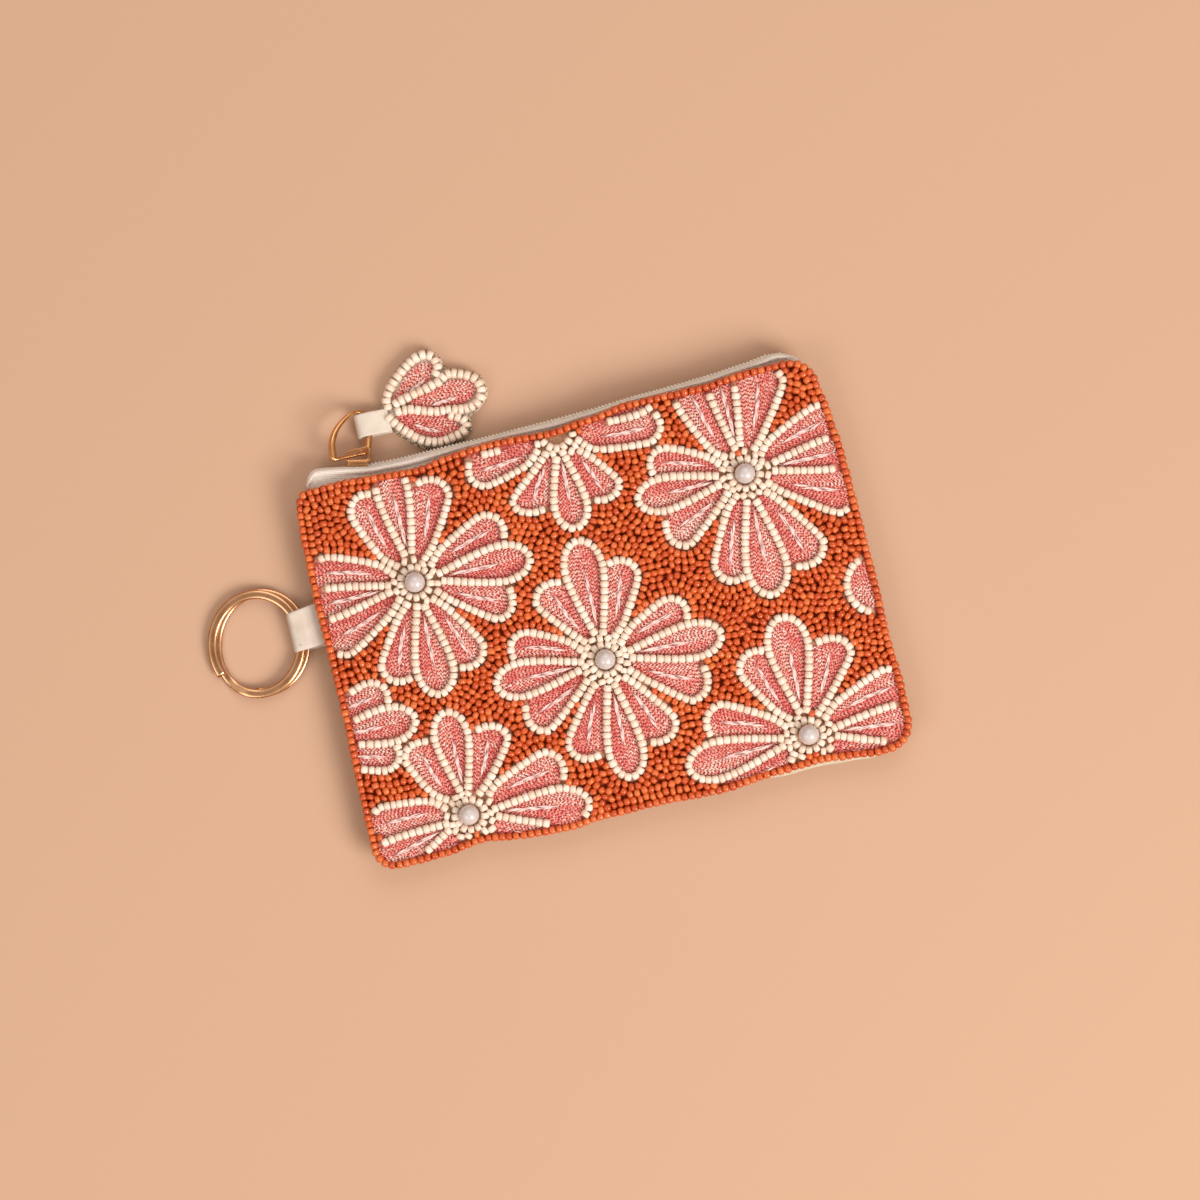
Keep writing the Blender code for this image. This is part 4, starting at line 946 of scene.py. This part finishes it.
# Nylon filament: smooth and slightly translucent, so it is a little shinier than the tape
nylon = mottled("drawn_nylon_filament", {"Scale": 420.0, "Detail": 2.0}, ((0.0, "#EFE6DA"), (1.0, "#FFFCF7")),
                Roughness=0.42, IOR=1.53, Subsurface_Weight=0.2, Subsurface_Scale=0.4 * MM)[0]
coil = make_piece("nylon_coil", *joined(coil_parts), nylon, "zip_coil")
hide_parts("zip_chain")

# Zip slider
# Cast zinc with a bright gilt plating: two plates that hold the coil between them, and the bridge that
# the pull ring hangs in. Its edges are rounded by tumbling before it is plated.


def rounded_copy(name, node, width, material):
    """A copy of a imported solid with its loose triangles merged, its flat faces made whole, and its
    edges rounded by a bevel of that width."""
    work = bmesh.new()
    work.from_mesh(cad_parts[node].data)
    bmesh.ops.remove_doubles(work, verts=work.verts, dist=1e-6)
    bmesh.ops.dissolve_limit(work, angle_limit=math.radians(1.0), verts=work.verts, edges=work.edges)
    bmesh.ops.recalc_face_normals(work, faces=work.faces)
    mesh = bpy.data.meshes.new(name)
    work.to_mesh(mesh)
    work.free()
    mesh.materials.clear()
    mesh.shade_smooth()
    piece = stand(name, mesh, material)
    bevel = piece.modifiers.new("rounded_edges", "BEVEL")
    bevel.width = width * MM
    bevel.segments = 3
    bevel.limit_method = "ANGLE"
    bevel.angle_limit = math.radians(35.0)
    bevel.harden_normals = True
    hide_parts(node)


def plating(name, noise, stops, roughness, wear):
    """Plated metal whose colour and roughness follow one clouding noise. wear has the roughness's ends."""
    material, tree, shader, cloud = mottled(name, noise, stops, Metallic=1.0, Roughness=roughness)
    worn = add(tree, "ShaderNodeMapRange", {"To Min": wear[0], "To Max": wear[1]}, {"Value": cloud})
    feed(shader, {"Roughness": worn.outputs[0]})
    return material


# Gilt plating on cast zinc: a mirror finish, warm rose gold, with faint clouding and handling marks
gilt = plating("polished_gilt_plating", {"Scale": 500.0, "Detail": 4.0}, ((0.0, "#D9975E"), (1.0, "#F3C08A")),
               0.16, (0.10, 0.26))
rounded_copy("gilt_slider", "zip_slider", 0.2, gilt)

# Back canvas
# A plain panel of the same canvas, left bare. It is flat where the pouch lies on it and rises to the
# seams, and its cut edge shows below the beads near one end of the base.
BACK_NET = (141, 105)

plan = panel_net(rim_of("back_panel"), *BACK_NET)
low = np.maximum(height_at(height_field("back_panel", upper=False), plan), 0.0)
points, faces = closed_sheet(plan, low, low + CANVAS_THICK, 0.3)
back = make_piece("back_canvas", points, faces, canvas, "canvas",
                  attributes={"ground": np.tile(linear(CLOTH), (len(points), 1))})
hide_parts("back_panel")

# Side tab
# A strip of cream leather, folded round the key ring with both ends sewn into the left seam. The upper
# layer has a soft crease near the seam, and the lower layer's cut edge shows below it.
TAB_THICK = 1.05
# The strip's middle line seen from the side, from its lower end in the seam round to its upper end
TAB_ROUTE = ((-67.25, 2.98), (-69.37, 2.87), (-70.33, 1.68), (-71.56, 0.58), (-73.93, 0.58), (-75.64, 0.58),
             (-76.54, 1.28), (-76.83, 2.60), (-76.43, 4.03), (-75.31, 4.52), (-73.65, 4.73), (-72.3, 4.55),
             (-71.05, 4.63), (-69.44, 4.43), (-67.25, 4.33))
# The strip's lower and upper edge in plan at shares of the way along it
TAB_EDGES = ((0.0, 8.75, 19.3), (0.4, 8.55, 18.9), (0.58, 8.85, 18.85), (0.82, 9.0, 19.6), (1.0, 9.1, 20.1))


def strip(route, edges, thick, crown):
    """A leather strip carried along a side view. Its section is a rectangle with rounded edges, whose
    faces are divided across the strip and rise by crown in the middle: 1 - (y / half width)^2."""
    line = smooth_through(route, 0.3)
    ahead = ahead_along(np.column_stack((line[:, 0], np.zeros(len(line)), line[:, 1])))
    side = np.tile((0.0, -1.0, 0.0), (len(line), 1))
    share = np.linspace(0.0, 1.0, len(line))
    low, high = (np.interp(share, [row[0] for row in edges], [row[place] for row in edges]) for place in (1, 2))
    path = np.column_stack((line[:, 0], (high + low) / 2.0, line[:, 1]))
    across = np.linspace(-1.0, 1.0, 13)
    turn = np.linspace(-np.pi / 2, np.pi / 2, 7)[1:-1]
    y = np.concatenate((across, 1.0 + 0 * turn, across[::-1], -1.0 + 0 * turn))
    round_y = np.concatenate((0 * across, np.cos(turn), 0 * across, -np.cos(turn)))
    z = np.concatenate((0 * across - 1.0, np.sin(turn), 0 * across + 1.0, -np.sin(turn)))
    half = (high - low)[:, None] / 2.0 - thick * 0.35
    offset = y * half + round_y * thick * 0.35
    level = z * thick / 2.0 + crown * (1.0 - y ** 2)
    profile = np.stack((-offset, np.broadcast_to(level, offset.shape)), axis=-1)
    return carry(path, side, np.cross(ahead, side), profile)


# Cream leather: finely grained, with a soft polish, small dark specks and a faint mottling
leather, tree, shader = new_material("cream_grained_leather", Roughness=0.5, Subsurface_Weight=0.08,
                                     Subsurface_Scale=0.5 * MM)
place = {"Vector": add(tree, "ShaderNodeTexCoord").outputs["Object"]}
grain = add(tree, "ShaderNodeTexVoronoi", {"Scale": 1400.0}, place)
mottle = add(tree, "ShaderNodeTexNoise", {"Scale": 220.0, "Detail": 4.0}, place)
specks = add(tree, "ShaderNodeTexNoise", {"Scale": 900.0, "Detail": 1.0}, place)
tones = add(tree, "ShaderNodeValToRGB", links={"Fac": mottle.outputs["Fac"]},
            stops=((0.3, "#D0C3B5"), (0.7, "#DFD6CC")))
marks = add(tree, "ShaderNodeValToRGB", links={"Fac": specks.outputs["Fac"]},
            stops=((0.77, "#000000"), (0.8, "#FFFFFF")))
dirty = add(tree, "ShaderNodeMixRGB", {"Color2": linear("#A58B6C")},
            {"Fac": marks.outputs["Color"], "Color1": tones.outputs["Color"]})
bump = add(tree, "ShaderNodeBump", {"Strength": 0.25, "Distance": 0.08 * MM}, {"Height": grain.outputs["Distance"]})
feed(shader, {"Base Color": dirty.outputs["Color"], "Normal": bump.outputs["Normal"]})
tab = make_piece("leather_side_tab", *strip(TAB_ROUTE, TAB_EDGES, TAB_THICK, 0.05), leather, "leather")
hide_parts("side_tab")

# Key ring
# A split ring: two turns of flattened steel wire, plated rose gold and sprung together. The upper turn
# has slipped a little to the left of the lower one, and its end shows as a notch at the lower left.
# The ring's middle, its reach to each side, the wire's width and depth, and how far a turn has slipped
RING_MIDDLE = (-85.64, 13.2)
RING_REACH = (11.26, 12.57)
RING_WIRE = (2.3, 1.05)
RING_SLIP = (0.65, 0.2)
# The height of the wire's underside at its left end, its rise per millimetre to the right, and that end's x
RING_FLOOR = (0.05, 0.0578, -98.25)
# The wire's first and last turn from its start, in degrees. Then where it dips from the upper turn
# to the lower one, where the turns cross to the other side of each other, and how long each takes.
RING_TURN, RING_DIP, RING_CROSS = (3.0, 683.0), (322.0, 34.0), (295.0, 120.0)
# Where the wire starts, the step between its points, and the gap between the turns
RING_START, RING_STEP, RING_GAP = 222.0, 4.0, 0.06
# The way across the photograph, which the ring's longer axis is square to
PHOTO_ACROSS = (0.9728, -0.2317)


def eased(values, start, span):
    """0 before start, 1 after start + span, and 3 t^2 - 2 t^3 at share t of the way between."""
    share = np.clip((values - start) / span, 0.0, 1.0)
    return share * share * (3.0 - 2.0 * share)


turned = np.arange(*RING_TURN, RING_STEP)
dip, slip = eased(turned, *RING_DIP), 2.0 * eased(turned, *RING_CROSS) - 1.0
angle = np.radians(RING_START - turned)
out = np.column_stack((np.cos(angle), np.sin(angle))) * RING_REACH + slip[:, None] * RING_SLIP
plan = RING_MIDDLE + out @ np.array((PHOTO_ACROSS, (-PHOTO_ACROSS[1], PHOTO_ACROSS[0])))
bottom = RING_FLOOR[0] + RING_FLOOR[1] * (plan[:, 0] - RING_FLOOR[2])
path = np.column_stack((plan, bottom + RING_WIRE[1] * (1.5 - dip) + RING_GAP * (1.0 - dip)))

# Plated spring steel: polished rose gold, a little brushed along the wire by wear
plated = plating("plated_spring_steel", {"Scale": 350.0, "Detail": 5.0}, ((0.0, "#CB9064"), (1.0, "#F0C096")),
                 0.2, (0.14, 0.30))
ring = make_piece("split_key_ring", *wire(path, (0.0, 0.0, 1.0), section(*RING_WIRE, 20, 0.75)), plated,
                  "ring_metal")
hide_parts("key_ring")

# Pull ring
# A D of gilt wire with flat sides, through the slider's bridge. Its legs are broader than its top. It
# leans down to the right, where the charm's strap is folded round it.
# The ring's middle from the left and its height there, its width and length, and its fall to the right
PULL_MIDDLE = (-50.9, 4.65)
PULL_REACH = (11.6, 12.5)
PULL_LEAN = 0.53
# The wire's width at the top and at the legs, and its depth
PULL_WIRE = (1.0, 1.75, 2.0)
# The wire's middle line, as shares of the width and of the length above the zip's crest
PULL_ROUTE = ((-0.450, 0.163), (-0.457, 0.264), (-0.426, 0.465), (-0.326, 0.667), (-0.155, 0.837), (0.062, 0.969),
              (0.248, 1.000), (0.380, 0.922), (0.419, 0.744), (0.372, 0.481), (0.287, 0.233), (0.233, 0.163),
              (0.078, 0.163), (-0.233, 0.163))

plan = smooth_through(np.array(PULL_ROUTE) * PULL_REACH, 0.35, closed=True)
crest = np.interp(PULL_MIDDLE[0], chain_x, chain_crest)
path = np.column_stack((plan, -PULL_LEAN * plan[:, 0])) + (PULL_MIDDLE[0], crest, PULL_MIDDLE[1])
width = PULL_WIRE[0] + (PULL_WIRE[1] - PULL_WIRE[0]) * ahead_along(path, closed=True)[:, 1:2] ** 2
ring = make_piece("gilt_pull_ring", *wire(path, (PULL_LEAN, 0.0, 1.0), section(width, PULL_WIRE[2], 20, 0.7), True),
                  gilt, "gilt_metal")
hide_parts("pull_ring")

# Charm strap
# A short strip of the same cream leather, folded round the pull ring's right leg. Both ends are sewn
# between the charm's felt and its beaded front.
STRAP_THICK = 0.8
STRAP_ROUTE = ((-40.5, 1.65), (-41.7, 1.65), (-42.98, 0.92), (-44.79, 0.52), (-47.19, 0.62), (-48.49, 1.32),
               (-48.90, 2.28), (-48.30, 3.63), (-46.79, 4.13), (-44.79, 3.94), (-42.98, 3.25), (-41.7, 2.75),
               (-40.5, 2.75))
STRAP_EDGES = ((0.0, 57.2, 63.3), (0.4, 57.35, 63.45), (0.62, 57.7, 63.65), (1.0, 57.45, 63.5))
strap = make_piece("leather_charm_strap", *strip(STRAP_ROUTE, STRAP_EDGES, STRAP_THICK, 0.04), leather,
                   "leather")
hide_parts("charm_strap")

# Charm felt
# The charm's back is wool felt, cut round a three petalled lobe. Whipping stitches of a dull gilt
# thread hold its edge to the beaded front, and lie unevenly.
CHARM_NET = (61, 61)
charm_rim = rim_of("charm_backing", spacing=0.3)
charm_middle = (charm_rim.max(0) + charm_rim.min(0)) / 2.0
felt_level = packed_points("charm_backing")[:, 2]
plan = panel_net(charm_rim - charm_middle, *CHARM_NET) + charm_middle
nap = 0.07 * np.sin(plan[..., 0] * 3.1) * np.sin(plan[..., 1] * 2.7 + plan[..., 0])
points, faces = closed_sheet(plan, np.full(nap.shape, felt_level.min()), felt_level.max() + nap, 0.15)

# Wool felt: matt and fibrous, cream, with fibres every way
felt, tree, shader, fibres = mottled("pressed_wool_felt", {"Scale": 1800.0, "Detail": 5.0, "Distortion": 2.5},
                                     ((0.3, "#DCCEB6"), (0.7, "#FAF3E6")),
                                     Roughness=0.95, Sheen_Weight=0.6, Sheen_Roughness=0.5)
bump = add(tree, "ShaderNodeBump", {"Strength": 0.8, "Distance": 0.15 * MM}, {"Height": fibres})
feed(shader, {"Normal": bump.outputs["Normal"]})
backing = make_piece("felt_charm_backing", points, faces, felt, "felt")
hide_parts("charm_backing")

# Charm beading
# A small padded lobe of the front's own work: three petals of pink floss, each inside a row of cream
# beads, couched on canvas that is stuffed so that it domes.
# The rows of beads, the petals' outlines and their centre lines, in plan
CHARM_ROWS = (
    ((-39.9, 62.7), (-39.7, 65.6), (-38.0, 68.2), (-35.7, 70.3), (-33.2, 72.2), (-30.5, 73.7), (-28.3, 74.1),
     (-26.8, 73.3), (-26.0, 71.5), (-26.1, 69.8), (-27.6, 68.0)),
    ((-38.5, 63.6), (-37.2, 64.2), (-35.6, 64.6), (-33.7, 65.1), (-31.9, 65.5), (-30.0, 65.8), (-28.1, 66.4),
     (-26.2, 66.8), (-24.8, 67.7), (-23.0, 68.0), (-21.1, 67.5), (-19.2, 66.6), (-17.4, 65.3), (-16.6, 63.4),
     (-16.7, 61.6), (-17.8, 60.1), (-19.5, 59.3), (-21.3, 59.0), (-23.4, 59.1), (-25.3, 59.5), (-27.1, 59.6),
     (-29.1, 59.8), (-30.7, 60.4), (-32.4, 60.9), (-34.0, 61.6), (-35.7, 61.8), (-37.4, 62.0), (-38.8, 61.8)),
    ((-40.6, 61.7), (-39.8, 60.5), (-38.7, 59.0), (-37.3, 57.4), (-35.7, 55.7), (-34.2, 54.3), (-32.4, 53.3),
     (-30.5, 52.7), (-28.5, 52.5), (-26.3, 52.8), (-24.1, 53.3), (-22.3, 54.4), (-22.4, 55.9), (-23.8, 57.2),
     (-25.4, 58.1)),
)
CHARM_PETALS = (
    ((-37.9, 65.0), (-35.5, 67.6), (-32.4, 70.7), (-29.1, 71.9), (-27.5, 71.3), (-27.9, 69.9), (-28.7, 68.9),
     (-28.7, 67.7), (-31.0, 66.5), (-34.2, 65.8), (-37.0, 65.0)),
    ((-33.9, 63.1), (-30.4, 64.3), (-26.1, 65.0), (-23.8, 65.9), (-21.5, 65.7), (-18.6, 64.3), (-18.4, 62.6),
     (-20.2, 61.3), (-23.8, 60.9), (-28.2, 61.1), (-32.3, 62.5)),
    ((-37.7, 60.7), (-34.3, 60.2), (-28.8, 58.4), (-26.6, 58.1), (-25.5, 56.3), (-24.4, 54.6), (-27.4, 54.4),
     (-29.3, 54.0), (-31.7, 55.1), (-35.3, 57.2), (-36.9, 59.1)),
)
CHARM_CENTRES = (((-34.1, 66.0), (-31.8, 67.0), (-29.4, 68.5)), ((-29.3, 61.4), (-26.2, 61.8), (-22.4, 62.1)),
                 ((-34.8, 58.0), (-31.8, 56.0), (-28.5, 54.8)))
# A bead's width and length, how far the padding rises, and the first stitches' depth in the outline
CHARM_BEAD = (2.55, 1.6)
CHARM_RISE = 1.0
CHARM_FIRST_ROW = -0.5
CHARM_CLOTH = "#F3E6D6"

inner_rim = charm_middle + (charm_rim - charm_middle) * 0.95
x, y = np.arange(-44.0, -13.0, 0.5), np.arange(49.0, 77.0, 0.5)
spots = np.stack(np.meshgrid(x, y), axis=-1)
inside = np.where(within(spots, charm_rim), 1.0, -1.0) * nearest(spots, charm_rim)
charm_field = (x, y, 1.15 + CHARM_RISE * (1.0 - np.exp(-np.clip(inside - 0.6, 0.0, None) / 2.2)))
plan = panel_net(inner_rim - charm_middle, *CHARM_NET) + charm_middle
top = height_at(charm_field, plan)
points, faces = closed_sheet(plan, np.full(top.shape, 1.0), top, 0.1)
ground = np.tile(linear(CHARM_CLOTH), (len(points), 1))
petal_outlines = [smooth_through(petal, 0.25, closed=True) for petal in CHARM_PETALS]
for outline in petal_outlines:
    ground[within(points[:, :2], outline) | (nearest(points[:, :2], outline) < 0.7)] = linear(ROSE_STAIN)
pad = make_piece("charm_canvas", points, faces, canvas, "canvas", attributes={"ground": ground})
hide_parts("charm_beading")

embroider("charm_petal", charm_field, petal_outlines, [np.array(line) for line in CHARM_CENTRES],
          CHARM_FIRST_ROW, lambda spots: np.ones(len(spots), bool), "charm_beads")
charm_beads = np.vstack([thread_on(smooth_through(row, 0.2), CHARM_BEAD[1], 0.10) for row in CHARM_ROWS])
sew_beads("charm_cream_beads", charm_field, without_clashes(charm_beads, 1.15), CHARM_BEAD[0], 0.97,
          BEAD_PROFILE, pearlised, "charm_beads")

# Whipping stitches: short lengths of dull gilt thread over the felt's edge, each of a random tone from dark brown to
# pale gilt
whip = toned("dull_gilt_thread", ((0.0, "#4E3A24"), (0.6, "#8F7442"), (1.0, "#E8D9AE")), Metallic=0.35,
             Roughness=0.45)
edge = smooth_through(charm_rim[::2], 0.62, closed=True)
inwards = -outwards(edge)
count = len(edge)
direction = np.arctan2(inwards[:, 1], inwards[:, 0]) + random.normal(0.0, 0.75, count)
spots = edge + inwards * random.uniform(-0.05, 0.45, count)[:, None]
flat = unit(np.column_stack((np.cos(direction), np.sin(direction), random.uniform(0.1, 0.5, count))))
up = np.cross(np.cross(flat, (0.0, 0.0, 1.0)), flat)
sizes = np.column_stack((random.uniform(0.9, 1.7, count), np.full(count, 0.32), np.full(count, 0.3)))
points, faces = link_mesh(np.column_stack((spots, random.uniform(1.15, 1.6, count))), flat, up, sizes)
make_piece("charm_whipping", points, faces, whip, "felt",
           attributes={"tone": np.repeat(random.uniform(0.0, 1.0, count), LINK_CORNERS)})

# Stage: a plain pale floor, soft lights and the camera above the pouch
floor_mesh = bpy.data.meshes.new("floor")
floor_mesh.from_pydata([(-3, -3, 0), (3, -3, 0), (3, 3, 0), (-3, 3, 0)], [], [(0, 1, 2, 3)])
floor = bpy.data.objects.new("floor", floor_mesh)
bpy.context.scene.collection.objects.link(floor)
floor_mesh.materials.append(new_material("matt_backdrop_card", Base_Color=linear("#CAA58B"), Roughness=0.85)[0])

world = bpy.data.worlds.new("studio")
world.use_nodes = True
sky = world.node_tree
place = add(sky, "ShaderNodeTexCoord")
height = add(sky, "ShaderNodeSeparateXYZ", links={"Vector": place.outputs["Generated"]})
ramp = add(sky, "ShaderNodeValToRGB", links={"Fac": height.outputs["Z"]},
           stops=((0.0, "#74583F"), (0.55, "#C2A78D"), (0.9, "#FFF8F2"), (1.0, "#9C8674")))
feed(sky.nodes["Background"], {"Color": ramp.outputs["Color"]})
sky.nodes["Background"].inputs["Strength"].default_value = 0.80
bpy.context.scene.world = world
# Each lamp's place, width and power
for name, place, width, power in (("key_light", (0.7, -0.88, 1.05), 0.75, 19.6),
                                  ("fill_light", (-0.9, -0.5, 1.1), 0.8, 4.5),
                                  ("back_light", (0.3, 0.95, 1.05), 1.0, 4.3)):
    lamp = bpy.data.lights.new(name, "AREA")
    lamp.shape = "SQUARE"
    lamp.size = width
    lamp.energy = power
    lamp.color = linear("#FFFAF4")[:3]
    holder = bpy.data.objects.new(name, lamp)
    holder.location = place
    holder.rotation_mode = "QUATERNION"
    holder.rotation_quaternion = (-holder.location).to_track_quat("-Z", "Y")
    bpy.context.scene.collection.objects.link(holder)

camera = bpy.data.objects.new("camera", bpy.data.cameras.new("camera"))
camera.data.lens = 120.0
camera.data.sensor_width = 36.0
camera.location = (0.00065, 0.00393, 1.012)
camera.rotation_euler = (0.0, 0.0, math.atan2(PHOTO_ACROSS[1], PHOTO_ACROSS[0]))
bpy.context.scene.collection.objects.link(camera)
bpy.context.scene.camera = camera
bpy.context.scene.view_settings.view_transform = "Standard"
